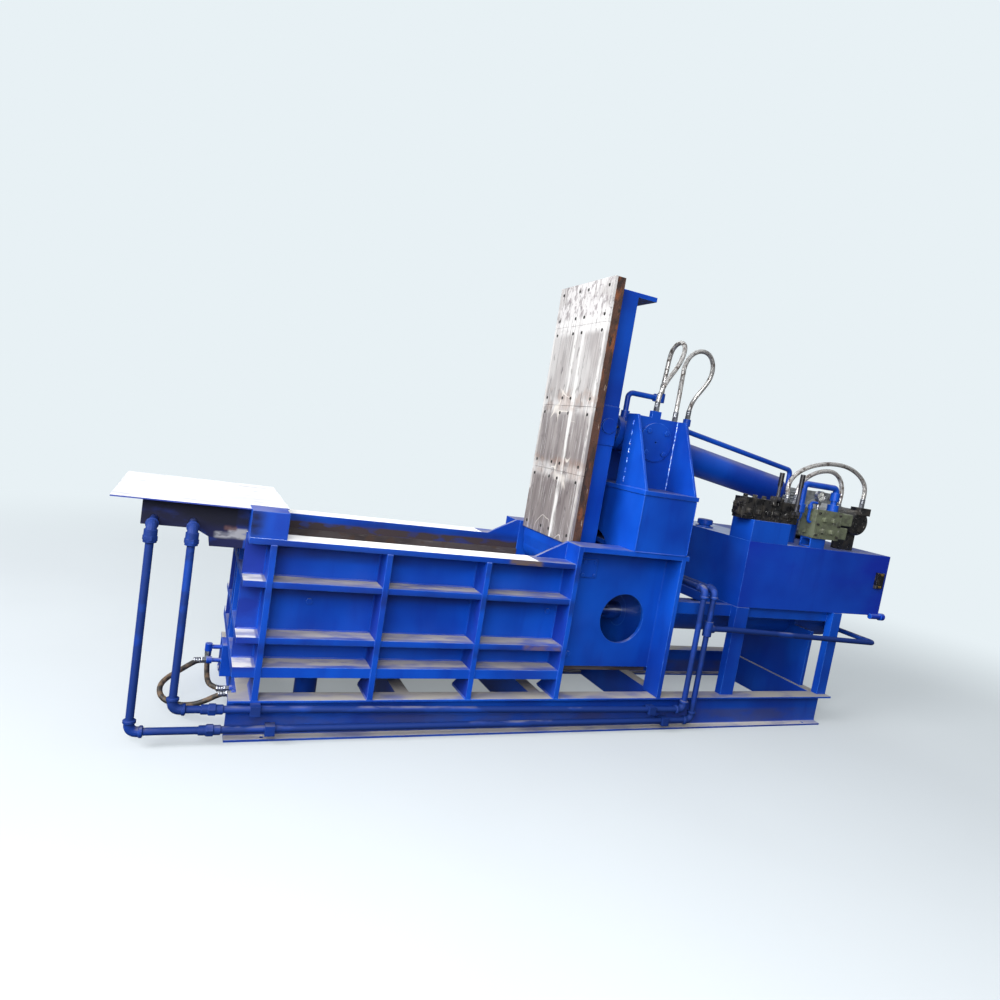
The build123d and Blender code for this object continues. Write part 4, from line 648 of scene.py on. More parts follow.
# Every finish by its slot or its own name: its maker, its name and what the maker asks for
FINISH_MAKERS = {
    "blue_paint": (machine_enamel, "sprayed_enamel", 0.40, 0.5),
    "blue_paint_dusty": (machine_enamel, "dusty_wall_enamel", 0.6, 0.6, WALL_MARKS),
    "base_enamel": (machine_enamel, "splashed_base_enamel", 0.7, 0.7, BEAM_MARKS, 0.4),
    "lid_enamel": (machine_enamel, "lid_frame_enamel", 0.25, 0.6),
    "lock_enamel": (machine_enamel, "smeared_lock_enamel", 0.3, 0.6, LOCK_MARKS, 0.45),
    "pipe_enamel": (machine_enamel, "dusty_pipe_enamel", 0.95, 0.5, PIPE_SHADE, 0.38),
    "tank_enamel": (machine_enamel, "deep_tank_enamel", 0.45, 0.5, TANK_MARKS),
    "bead": (painted_bead, "enamelled_weld_bead"),
    "wear_steel": (wear_plate, "scoured_wear_plate"),
    "rusty_steel": (rusty_plate, "rusty_flame_cut_plate"),
    "liner_steel": (worn_liner, "scored_liner_steel"),
    "worn_tray": (bare_tray, "scoured_tray_sheet"),
    "black_casting": (oily_casting, "oily_black_cast_iron", "#0d0d10", "#2a2622", 0.16),
    "olive_casting": (oily_casting, "oily_olive_cast_iron", "#626853", "#4c5042", 0.35, "#8f8c78"),
    "grey_casting": (oily_casting, "grey_painted_casting", "#7b7f82", "#666a6c", 0.4, "#8f8d87"),
    "black_screw": (oily_casting, "oil_blackened_screw", "#050506", "#0b0a0a", 0.35, "#171514"),
    "black_grip": (phenolic_grip, "moulded_phenolic_grip"),
    "silver_braid": (steel_braid, "stainless_wire_braid"),
    "black_rubber": (rubber_hose, "wrapped_nitrile_rubber"),
    "glass": (gauge_glass, "gauge_window_glass"),
    "paper": (studio_paper, "matt_studio_paper"),
    # Ground steel bar under hard chrome: mirror-like, with fine rings of grinding and a film of oil
    "ground_rod": (
        plain_finish, "hard_chromed_bar", "#cfd2d6", 0.12,
        ("#8f8a80", 0.28, 0.06, 0.45, 0.70, 0.5), (0.0012, 0.3, 0.7, 1.0, 1.0), 0.00004, METAL,
    ),
    # Zinc-plated steel: a cool, slightly blue-white metal, dulled by handling
    "zinc": (
        plain_finish, "zinc_plated_steel", "#a6a9af", 0.34,
        ("#74777e", 0.5, 0.02, 0.40, 0.65, 1.0, 4.0), (0.0015, 0.3, 0.7), 0.00008, METAL,
    ),
    # Stamped stainless gauge case: thin, bright, lightly brushed round its rim
    "gauge_steel": (
        plain_finish, "stamped_stainless_case", "#c2c4c8", 0.26,
        ("#85878c", 0.4, 0.03, 0.4, 0.7), (0.0015, 0.35, 0.65, 1.0, 2.0), 0.00006, METAL,
    ),
    # Turned brass left bare: a warm yellow metal, tarnished brown in patches
    "brass": (
        plain_finish, "tarnished_brass", "#d9b96a", 0.3,
        ("#7b5f35", 0.5, 0.008, 0.42, 0.62, 0.7), (0.001, 0.3, 0.7), 0.00005, METAL,
    ),
    # Stove enamel on a thin aluminium disc, and on its needle: even, clean and softly glossy
    "dial": (
        plain_finish, "white_dial_enamel", "#f0efe9", 0.45,
        DIAL_SPOTS, (0.001, 0.3, 0.7), 0.00003, {"IOR": 1.5},
    ),
    "needle_black": (
        plain_finish, "black_dial_enamel", "#141414", 0.45,
        DIAL_SPOTS, (0.001, 0.3, 0.7), 0.00003, {"IOR": 1.5},
    ),
    # Dark polycarbonate of the level gauge in its black frame: glossy, with dust in its corners
    "sight_black": (
        plain_finish, "dark_sight_plastic", "#101014", 0.22,
        ("#4e4a48", 0.5, 0.03, 0.45, 0.65, 0.4), (0.002, 0.3, 0.7), 0.0001, {"IOR": 1.58},
    ),
}
# Nodes and a slot whose finish isn't the one named for their slot
REFINISHED = {
    "bright_bolts": "blue_paint",
    "base_beam_near": "base_enamel",
    "base_beam_far": "base_enamel",
    "cross_beams": "base_enamel",
    "lid_frame": "lid_enamel",
    "lock_housing": "lock_enamel",
    "lock_pipe_upper": "pipe_enamel",
    "lock_pipe_lower": "pipe_enamel",
    "ram_pipe": "pipe_enamel",
    "pipe_clamps": "pipe_enamel",
    "tank": "tank_enamel",
}
FINISHES = {}


def finish_named(name):
    """A finish by its name, made once."""
    if name not in FINISHES:
        maker, *asked = FINISH_MAKERS[name]
        FINISHES[name] = maker(*asked)
    return FINISHES[name]


# Meshes

def mesh_object(name, shape, finish):
    """A shape as an object with a finish."""
    mesh = bpy.data.meshes.new(name)
    shape.to_mesh(mesh)
    shape.free()
    mesh.materials.append(finish_named(finish))
    made = bpy.data.objects.new(name, mesh)
    bpy.context.scene.collection.objects.link(made)
    return made


def new_piece(name, parts, finish, body, smooth=False):
    """A piece that rides on a body. Each of its parts is a function and what that function
    gets after the shape that it adds to."""
    shape = bmesh.new()
    for make, *details in parts:
        make(shape, *details)
    bmesh.ops.recalc_face_normals(shape, faces=shape.faces)
    piece = mesh_object(name, shape, finish)
    for face in piece.data.polygons:
        face.use_smooth = smooth
    if body:
        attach(piece, body)
    return piece


def spread_turns(count, start=0):
    """Angles spread evenly over a whole turn, from a start in degrees."""
    return [math.radians(start) + 2 * math.pi * step / count for step in range(count)]


def join_rings(shape, rings, closed=False):
    """Faces between one ring of corners and the next, with a cap at each end; closed rings
    meet again instead."""
    for first, second in zip(rings, rings[1:] + rings[:closed]):
        for step in range(len(first)):
            after = (step + 1) % len(first)
            shape.faces.new((first[step], first[after], second[after], second[step]))
    if not closed:
        shape.faces.new(rings[0])
        shape.faces.new(rings[-1])


def turned(shape, centre, axis, outline, count, closed=False):
    """A round or many-sided body about an axis: the outline lists (distance along, radius).
    A closed outline leaves the middle open."""
    axis = Vector(axis).normalized()
    across = axis.orthogonal().normalized()
    up = axis.cross(across)
    rings = []
    for along, radius in outline:
        middle = Vector(centre) + axis * along
        rings.append([
            shape.verts.new(middle + (across * math.cos(angle) + up * math.sin(angle)) * radius)
            for angle in spread_turns(count)
        ])
    join_rings(shape, rings, closed)


def hexagon_bolt(shape, centre, axis, size):
    """A chamfered hexagon head on its washer; size is the distance across its flats."""
    corner = size / math.sqrt(3)
    turned(shape, centre, axis, ((0, corner * 1.12), (size * 0.10, corner * 1.12)), 20)
    head = ((size * 0.10, corner), (size * 0.62, corner), (size * 0.72, corner * 0.84))
    turned(shape, centre, axis, head, 6)


def socket_screw(shape, centre, axis, radius, height):
    """A cap screw with a hexagon socket."""
    head = ((0, radius), (height * 0.85, radius), (height, radius * 0.88))
    socket = ((height, radius * 0.5), (height * 0.45, radius * 0.48))
    turned(shape, centre, axis, head + socket, 12)


def lay_bead(shape, start, end, leg, toward, draw):
    """A weld bead along a straight seam: round ripples that bulge away from the joint."""
    start = Vector(start)
    line = Vector(end) - start
    count = max(2, round(line.length / BEAD_PITCH))
    ahead = line.normalized()
    out = (Vector(toward) - ahead * ahead.dot(Vector(toward))).normalized()
    side = ahead.cross(out)
    rings = []
    for step in range(count + 1):
        swell = 1.0 if step % 2 else BEAD_LOW
        if step in (0, count):
            swell = BEAD_RUNOUT
        swell *= draw.uniform(*BEAD_SPREAD)
        middle = start + line * (step / count)
        ring = []
        for angle in BEAD_ANGLES:
            turn = math.radians(angle)
            reach = leg * swell * (0.5 if angle == 180 else 1.0)
            ring.append(shape.verts.new(middle + (out * math.cos(turn) + side * math.sin(turn)) * reach))
        rings.append(ring)
    join_rings(shape, rings)


def line_points(points):
    """The points of a smooth line on a hose's route, close together."""
    curve = bpy.data.curves.new("route", "CURVE")
    curve.dimensions = "3D"
    curve.resolution_u = 12
    spline = curve.splines.new("NURBS")
    spline.points.add(len(points) - 1)
    for point, place in zip(spline.points, points):
        point.co = (*place, 1.0)
    spline.order_u = 3
    spline.use_endpoint_u = True
    holder = bpy.data.objects.new("route", curve)
    mesh = bpy.data.meshes.new_from_object(holder)
    places = [vertex.co.copy() for vertex in mesh.vertices]
    bpy.data.objects.remove(holder)
    bpy.data.meshes.remove(mesh)
    return places


def tube_along(shape, places, radius):
    """A tube with a braid layer that runs along and round it."""
    layers = shape.loops.layers.uv
    layer = layers.get("braid")
    if layer is None:
        layer = layers.new("braid")
    side = (places[1] - places[0]).normalized().orthogonal().normalized()
    rings = []
    lengths = []
    run = 0.0
    for number, place in enumerate(places):
        before = places[max(number - 1, 0)]
        ahead = (places[min(number + 1, len(places) - 1)] - before).normalized()
        side = (side - ahead * side.dot(ahead)).normalized()
        up = ahead.cross(side)
        run += (place - before).length
        lengths.append(run)
        rings.append([
            shape.verts.new(place + (side * math.cos(angle) + up * math.sin(angle)) * radius)
            for angle in spread_turns(TUBE_SIDES)
        ])
    for first, second, low, high in zip(rings, rings[1:], lengths, lengths[1:]):
        for step in range(TUBE_SIDES):
            after = (step + 1) % TUBE_SIDES
            face = shape.faces.new((first[step], first[after], second[after], second[step]))
            here = step / TUBE_SIDES
            beyond = (step + 1) / TUBE_SIDES
            for loop, spot in zip(face.loops, ((low, here), (low, beyond), (high, beyond), (high, here))):
                loop[layer].uv = spot
    shape.faces.new(rings[0])
    shape.faces.new(rings[-1])


# Settings in the sidebar
COLOUR = {"subtype": "COLOR", "size": 3, "min": 0, "max": 1}
LENGTH = {"subtype": "DISTANCE", "unit": "LENGTH"}


class BalerPaint(bpy.types.PropertyGroup):
    """Colours of the paint and the dust on it."""
    enamel: FloatVectorProperty(
        name="Enamel", description="The machine enamel in good light",
        default=linear("#0c49b2")[:3], **COLOUR,
    )
    enamel_shade: FloatVectorProperty(
        name="Enamel shade", description="The same enamel where it was sprayed thicker",
        default=linear("#06318f")[:3], **COLOUR,
    )
    dust: FloatVectorProperty(
        name="Dust", description="Workshop dust on faces that look up",
        default=linear("#98938c")[:3], **COLOUR,
    )


class BalerHoses(bpy.types.PropertyGroup):
    """Sizes of the loose hoses and their fittings."""
    braided_radius: FloatProperty(
        name="Braided hose radius", description="Outer radius of the four braided hoses",
        default=0.014, min=0.005, **LENGTH,
    )
    rubber_radius: FloatProperty(
        name="Rubber hose radius", description="Outer radius of the two rubber hoses",
        default=0.013, min=0.005, **LENGTH,
    )
    ferrule_length: FloatProperty(
        name="Ferrule length", description="Length of the crimped ferrule at each hose end",
        default=0.055, min=0.01, **LENGTH,
    )


class BalerFasteners(bpy.types.PropertyGroup):
    """Sizes of welds and small fasteners."""
    weld_leg: FloatProperty(
        name="Weld leg", description="How far a weld bead stands out of its corner",
        default=0.006, min=0.002, **LENGTH,
    )
    liner_screw: FloatProperty(
        name="Wear-plate screw", description="Head radius of the countersunk screws in the wear plates",
        default=0.010, min=0.004, **LENGTH,
    )
    block_screw: FloatProperty(
        name="Block screw", description="Head radius of the cap screws on the valve and control blocks",
        default=0.008, min=0.003, **LENGTH,
    )


class BalerStage(bpy.types.PropertyGroup):
    """The plain studio round the machine."""
    floor_size: FloatProperty(
        name="Floor size", description="Side of the pale floor", default=60.0, min=10.0, **LENGTH,
    )
    key_power: FloatProperty(
        name="Key light", description="Power of the large soft light above the lock end",
        default=1850.0, min=0.0, unit="POWER",
    )
    fill_power: FloatProperty(
        name="Fill light", description="Power of the soft light high up in front",
        default=330.0, min=0.0, unit="POWER",
    )
    rear_power: FloatProperty(
        name="Rear light", description="Power of the soft light high up behind",
        default=60.0, min=0.0, unit="POWER",
    )
    sky: FloatProperty(
        name="Sky", description="Strength of the even light from straight above", default=0.85, min=0.0,
    )
    horizon: FloatProperty(
        name="Horizon", description="Strength of the even light from the horizon", default=0.12, min=0.0,
    )


class BALER_OT_camera(bpy.types.Operator):
    """Place the camera where the machine is seen from its near side and lock end"""
    bl_idname = "baler.camera"
    bl_label = "Camera"

    def execute(self, context):
        lens = bpy.data.cameras.new("camera")
        lens.sensor_width = CAMERA_SENSOR
        lens.lens = CAMERA_LENS
        lens.shift_x, lens.shift_y = CAMERA_SHIFT
        lens.clip_end = CAMERA_REACH
        camera = bpy.data.objects.new("camera", lens)
        context.scene.collection.objects.link(camera)
        yaw, pitch, roll = [math.radians(angle) for angle in CAMERA_TURN]
        level = Vector((math.cos(yaw), -math.sin(yaw), 0))
        flat = math.cos(pitch)
        ahead = Vector((math.sin(yaw) * flat, math.cos(yaw) * flat, -math.sin(pitch)))
        rise = level.cross(ahead)
        right = level * math.cos(roll) + rise * math.sin(roll)
        up = rise * math.cos(roll) - level * math.sin(roll)
        turn = Matrix((right, up, -ahead)).transposed().to_4x4()
        camera.matrix_world = Matrix.Translation(CAMERA_PLACE) @ turn
        context.scene.camera = camera
        return {"FINISHED"}


class BALER_OT_hoses(bpy.types.Operator):
    """Run the six loose hoses, with a ferrule and a nut at each end"""
    bl_idname = "baler.hoses"
    bl_label = "Hoses"

    def execute(self, context):
        sizes = context.scene.baler_hoses
        for name, node, slot, bodies, route in HOSES:
            radius = sizes.braided_radius if slot == "silver_braid" else sizes.rubber_radius
            points = [tuple(value / MILLIMETRES for value in point) for point in route]
            places = line_points(points)
            crossing = bodies[0] != bodies[1]
            tube = [(tube_along, places, radius)]
            hose = new_piece(name, tube, slot, None if crossing else bodies[0], True)
            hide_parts(node)
            if crossing:
                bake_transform(hose)
            for word, body, line in (("start", bodies[0], places), ("end", bodies[1], places[::-1])):
                out = (line[NEAR_END] - line[0]).normalized()
                sleeve = [(self.ferrule, line[0], out, radius, sizes.ferrule_length)]
                new_piece(f"{name}_{word}_ferrule", sleeve, "zinc", body)
        return {"FINISHED"}

    def ferrule(self, shape, end, out, radius, length):
        """A crimped sleeve with pressed grooves and a hexagon nut below it."""
        nut = length * 0.45
        top = length * 1.1
        head = ((0.0, radius * 1.28), (nut * 0.9, radius * 1.28), (nut, radius * 1.15))
        turned(shape, end, out, head, 6)
        grooves = 6
        outline = [(nut, radius * 1.10)]
        for step in range(1, grooves):
            along = nut + (top - nut) * step / grooves
            outline.append((along, radius * (1.20 if step % 2 else 1.10)))
        outline.append((top, radius * 1.03))
        turned(shape, end, out, outline, 16)


class BALER_OT_finishes(bpy.types.Operator):
    """Give every fixed part its real surface"""
    bl_idname = "baler.finishes"
    bl_label = "Finishes"

    def execute(self, context):
        for name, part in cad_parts.items():
            for place in part.material_slots:
                slot = place.material.name
                place.material = finish_named(REFINISHED.get(name) or REFINISHED.get(slot, slot))
        return {"FINISHED"}


class BALER_OT_welds(bpy.types.Operator):
    """Lay the weld beads along the seams of the plates"""
    bl_idname = "baler.welds"
    bl_label = "Welds"

    def execute(self, context):
        leg = context.scene.baler_fasteners.weld_leg
        draw = random.Random(11)
        for name, body, seams, share, finish in (
            ("wall_welds", "frame", self.wall_seams(), 1.0, "blue_paint"),
            ("tower_welds", "frame", self.tower_seams(), 0.7, "blue_paint"),
            ("bare_face_welds", "frame", self.bright_seams(), 0.75, "bead"),
            ("lid_welds", "lid", self.lid_seams(), 1.0, "blue_paint"),
        ):
            beads = [(lay_bead, start, end, leg * share, toward, draw) for start, end, toward in seams]
            new_piece(name, beads, finish, body, True)
        return {"FINISHED"}

    def wall_seams(self):
        """Seams where the ledges and ribs meet the chamber walls and the beams."""
        bays = list(zip((WALL_START, *[x + RIB_PLATE for x in RIB_STARTS]), (*RIB_STARTS, WALL_END)))
        levels = (
            (LEDGE_TOPS[2], LEDGE_TOPS[1] - LEDGE_PLATE),
            (LEDGE_TOPS[1], LEDGE_TOPS[0] - LEDGE_PLATE),
            (LEDGE_TOPS[0], RIM_TOP - RIM_PLATE),
        )
        seams = []
        for side in SIDES:
            wall = side * WALL_FACE
            for low, high in bays:
                for top in LEDGE_TOPS:
                    seams.append(((low, wall, top), (high, wall, top), (0, side, 1)))
            for x in RIB_STARTS:
                faces = ((x, -1), (x + RIB_PLATE, 1))
                for low, high in levels:
                    for edge, way in faces:
                        seams.append(((edge, wall, low), (edge, wall, high), (way, side, 0)))
                for edge, way in faces:
                    foot = (edge, side * RIB_FOOT, BEAM_TOP)
                    seams.append((foot, (edge, side * HALF_WIDTH, BEAM_TOP), (way, 0, 1)))
        return seams

    def tower_seams(self):
        """Seams of the tower box, its cap, the flared cheeks of the posts and the columns."""
        box_top = CAP_TOP - CAP_PLATE
        seams = []
        for side in SIDES:
            outer = side * HALF_WIDTH
            for x, way in zip(TOWER_X, SIDES):
                seams.append(((x, outer, DECK_TOP), (x, outer, box_top), (way, side, 0)))
            for z, way in ((DECK_TOP, 1), (box_top, -1)):
                seams.append(((TOWER_X[0], outer, z), (TOWER_X[1], outer, z), (0, side, way)))
            face = side * POST_FACE
            cheek = POST_X[0] + CHEEK_PLATE
            seams.append(((cheek, face, CAP_TOP), (cheek, face, POST_TOP), (1, side, 0)))
            seams.append(((POST_X[0], face, CAP_TOP), (POST_X[1], face, CAP_TOP), (0, side, 1)))
            for x, way in zip(POST_X, SIDES):
                seams.append(((x, face, CAP_TOP), (x, outer, CAP_TOP), (way, 0, 1)))
            ends = [(COLUMN, side * TUNNEL_FACE, z) for z in COLUMN_Z]
            seams.append((*ends, (-1, side, 0)))
        return seams

    def bright_seams(self):
        """Stitched and full seams whose beads stand out bright on the photographed machine."""
        seams = []
        for side in SIDES:
            for low in DASHES:
                y = side * BEAD_Y
                seams.append(((POST_X[0], y, low), (POST_X[0], y, low + DASH), LOCK_WAY))
            ends = [(POST_X[1] - CHEEK_PLATE, side * POST_FACE, z) for z in (CAP_TOP, POST_TOP)]
            seams.append((*ends, (-1, side, 0)))
        return seams

    def lid_seams(self):
        """Seams of the lid's arms, doublers and ties."""
        seams = []
        for side in SIDES:
            face = side * ARM_FACE
            seams.append((*[(LID_BACK, face, z) for z in ARM_Z], (1, side, 0)))
            for z, way in DOUBLERS:
                seams.append(((LID_BACK, face, z), (ARM_EDGE, face, z), (0, side, way)))
        return seams


class BALER_OT_lid_screws(bpy.types.Operator):
    """Set the countersunk screws of the lid's wear plates"""
    bl_idname = "baler.lid_screws"
    bl_label = "Wear-plate screws"

    def execute(self, context):
        radius = context.scene.baler_fasteners.liner_screw
        head = ((-0.004, radius), (0.0012, radius), (0.0012, radius * 0.55), (0.0003, radius * 0.5))
        rows = []
        for low, high in zip(LID_ROWS, LID_ROWS[1:]):
            rows += [low + LID_SCREW_INSET, high - LID_SCREW_INSET]
        screws = [
            (turned, (LID_FACE, LID_HALF - 2 * LID_HALF * share, z), LOCK_WAY, head, 12)
            for share in LID_SCREW_COLUMNS for z in rows
        ]
        new_piece("wear_plate_screws", screws, "black_screw", "lid")
        return {"FINISHED"}


class BALER_OT_gauge(bpy.types.Operator):
    """Fit the pressure gauge with its dial, marks, numbers and glass"""
    bl_idname = "baler.gauge"
    bl_label = "Pressure gauge"

    def execute(self, context):
        x, y, z = DIAL
        pane = ((0, DIAL_RADIUS), (0.0006, DIAL_RADIUS))
        disc = ((-0.0004, DIAL_RADIUS), (0.0002, DIAL_RADIUS))
        steps = range(DIAL_STEPS + 1)
        angles = [math.radians(DIAL_START - DIAL_SWEEP * step / DIAL_STEPS) for step in steps]
        marks = [
            (self.mark, angles[step], *(SHORT_MARK if step % DIAL_NUMBERED else LONG_MARK)) for step in steps
        ]
        numbers = [(self.number, str(step), angles[step]) for step in steps[::DIAL_NUMBERED]]
        window = (x, y - WINDOW_OUT, z)
        rim = (x, y - BEZEL_OUT, z)
        for name, parts, finish, slot, smooth in (
            ("gauge_dial", [(turned, DIAL, NEAR, disc, DIAL_SIDES)], "dial", "gauge_steel", False),
            ("gauge_marks", marks, "needle_black", "needle_black", False),
            ("gauge_numbers", numbers, "needle_black", "needle_black", False),
            ("gauge_window", [(turned, window, NEAR, pane, DIAL_SIDES)], "glass", "gauge_steel", False),
            (
                "gauge_bezel", [(turned, rim, NEAR, BEZEL, DIAL_SIDES, True)],
                "gauge_steel", "gauge_steel", True,
            ),
        ):
            new_piece(name, parts, finish, "frame", smooth)
        return {"FINISHED"}

    def mark(self, shape, angle, inner, wide):
        """One thin mark on the dial."""
        along = Vector((math.cos(angle), 0, math.sin(angle)))
        side = Vector((-math.sin(angle), 0, math.cos(angle))) * wide / 2
        base = Vector(DIAL) + Vector((0, -MARK_INK, 0))
        outer = DIAL_RADIUS * MARK_OUTER
        corners = ((inner, 1), (outer, 1), (outer, -1), (inner, -1))
        shape.faces.new([shape.verts.new(base + along * reach + side * way) for reach, way in corners])

    def number(self, shape, word, angle):
        """One number on the dial, upright, inside its mark."""
        letters = bpy.data.curves.new("number", "FONT")
        letters.body = word
        letters.size = NUMBER_SIZE
        letters.resolution_u = 3
        letters.align_x = "CENTER"
        letters.align_y = "CENTER"
        holder = bpy.data.objects.new("number", letters)
        flat = bpy.data.meshes.new_from_object(holder)
        spot = Vector(DIAL) + Vector((math.cos(angle), 0, math.sin(angle))) * NUMBER_CIRCLE
        for corner in flat.vertices:
            corner.co = spot + Vector((corner.co.x, -MARK_INK, corner.co.y))
        shape.from_mesh(flat)
        bpy.data.objects.remove(holder)
        bpy.data.meshes.remove(flat)


class BALER_OT_screws(bpy.types.Operator):
    """Set the bolts and cap screws of the blocks, the pump, the motor and the cylinders"""
    bl_idname = "baler.screws"
    bl_label = "Bolts and screws"

    def execute(self, context):
        radius = context.scene.baler_fasteners.block_screw
        small = radius * VALVE_SCREW_SHARE
        for name, parts, finish, body, slot in (
            ("control_block_screws", self.block_screws(radius), "black_casting", "frame", "bright_bolts"),
            ("control_block_plugs", self.block_plugs(), "olive_casting", "frame", "olive_casting"),
            ("valve_bank_screws", self.valve_screws(small), "black_casting", "frame", "black_casting"),
            ("pump_screws", self.pump_screws(), "black_casting", "frame", "black_casting"),
            ("motor_flange_bolts", self.motor_bolts(), "zinc", "frame", "bright_bolts"),
            ("motor_fins", self.motor_fins(), "grey_casting", "frame", "grey_casting"),
            ("level_gauge_bolts", self.sight_bolts(), "brass", "frame", "bright_bolts"),
            ("lid_gland_screws", self.gland_screws(), "black_casting", "lid_cylinder", "black_casting"),
            ("ram_flange_bolts", self.ram_bolts(), "blue_paint", "frame", "blue_paint"),
        ):
            new_piece(name, parts, finish, body)
        return {"FINISHED"}

    def block_screws(self, radius):
        """Two columns of cap screws in front of the control block."""
        columns = (BLOCK_X[0] + BLOCK_INSET, BLOCK_X[1] - BLOCK_INSET)
        rows = (BLOCK_Z[0] + BLOCK_INSET, sum(BLOCK_Z) / 2, BLOCK_Z[1] - BLOCK_INSET)
        return [
            (socket_screw, (x, BLOCK_Y[0], z), NEAR, radius, BLOCK_SCREW_HEIGHT)
            for x in columns for z in rows
        ]

    def block_plugs(self):
        """Two plugs on the control block's side and four in front."""
        plugs = [
            (hexagon_bolt, (BLOCK_X[0], sum(BLOCK_Y) / 2, z), LOCK_WAY, SIDE_PLUG)
            for z in (BLOCK_Z[0] + SIDE_PLUG_INSET, BLOCK_Z[1] - SIDE_PLUG_INSET)
        ]
        for x, z in BLOCK_PLUGS:
            plugs.append((hexagon_bolt, (BLOCK_X[0] + x, BLOCK_Y[0], BLOCK_Z[0] + z), NEAR, FRONT_PLUG))
        return plugs

    def valve_screws(self, radius):
        """Two cap screws and a plug in front of each valve section, plugs on top and four
        small bolts on the bank's nose."""
        pitch = (VALVE_X[1] - VALVE_X[0]) / VALVE_SECTIONS
        spread = pitch * VALVE_SCREW_SPREAD
        low, high = [VALVE_Z[0] + rise for rise in VALVE_RISES]
        screws = []
        for number in range(VALVE_SECTIONS):
            middle = VALVE_X[0] + (number + 0.5) * pitch
            for x in (middle - spread, middle + spread):
                screws.append((socket_screw, (x, VALVE_Y[0], low), NEAR, radius, VALVE_SCREW_HEIGHT))
            if number < VALVE_SECTIONS - 1:
                screws.append((hexagon_bolt, (middle, VALVE_Y[0], high), NEAR, FRONT_PLUG))
                screws.append((hexagon_bolt, (middle, sum(VALVE_Y) / 2, VALVE_Z[1]), UP, TOP_PLUG))
        for y in NOSE_BOLTS_Y:
            for z in NOSE_BOLTS_Z:
                screws.append((hexagon_bolt, (VALVE_NOSE, y, z), LOCK_WAY, NOSE_BOLT))
        return screws

    def pump_screws(self):
        """Six cap screws round the pump."""
        screws = []
        for turn in spread_turns(6, 30):
            x = PUMP[0] + PUMP_CIRCLE * math.cos(turn)
            z = PUMP[1] + PUMP_CIRCLE * math.sin(turn)
            screws.append((socket_screw, (x, PUMP_FACE, z), NEAR, *PUMP_SCREW))
        return screws

    def motor_bolts(self):
        """Four bolts in the corners of the motor's flange."""
        places = [
            (PUMP[0] + x * MOTOR_BOLTS, MOTOR_FACE, PUMP[1] + z * MOTOR_BOLTS)
            for x in SIDES for z in SIDES
        ]
        return [(hexagon_bolt, place, NEAR, MOTOR_BOLT) for place in places]

    def motor_fins(self):
        """Cooling ribs all round the motor but at its foot."""
        return [(self.fin, turn) for turn in spread_turns(MOTOR_FINS) if math.sin(turn) > MOTOR_FOOT]

    def sight_bolts(self):
        """A bolt at each end of the level gauge."""
        heights = (SIGHT_Z[0] + SIGHT_INSET, SIGHT_Z[1] - SIGHT_INSET)
        return [(hexagon_bolt, (sum(SIGHT_X) / 2, SIGHT_FACE, z), NEAR, SIGHT_BOLT) for z in heights]

    def gland_screws(self):
        """Eight cap screws round the lid cylinder's gland, square to its tilted axis."""
        tilt = Vector((-1, 0, LID_CYLINDER_DROP)).normalized()
        front = Vector((TRUNNION[0], 0, TRUNNION[1])) + tilt * GLAND_REACH
        side = Vector(FAR)
        up = tilt.cross(side)
        screws = []
        for turn in spread_turns(8, 22.5):
            place = front + (side * math.cos(turn) + up * math.sin(turn)) * GLAND_CIRCLE
            screws.append((socket_screw, place, tilt, *GLAND_SCREW))
        return screws

    def ram_bolts(self):
        """Twelve bolts round the main ram's flange."""
        bolts = []
        for turn in spread_turns(12, 15):
            y = RAM_CIRCLE * math.cos(turn)
            z = RAM_FLANGE[2] + RAM_CIRCLE * math.sin(turn)
            bolts.append((hexagon_bolt, (RAM_FLANGE[0], y, z), TANK_WAY, FLANGE_BOLT))
        return bolts

    def fin(self, shape, angle):
        """One cast cooling rib along the motor, thinner at its crest."""
        out = Vector((math.cos(angle), 0, math.sin(angle)))
        side = Vector((-math.sin(angle), 0, math.cos(angle)))
        ends = []
        for y in MOTOR_FINS_Y:
            middle = Vector((PUMP[0], y, PUMP[1]))
            ends.append([
                shape.verts.new(middle + out * (MOTOR_RADIUS + rise) + side * half)
                for rise, half in FIN_SHAPE
            ])
        join_rings(shape, ends)


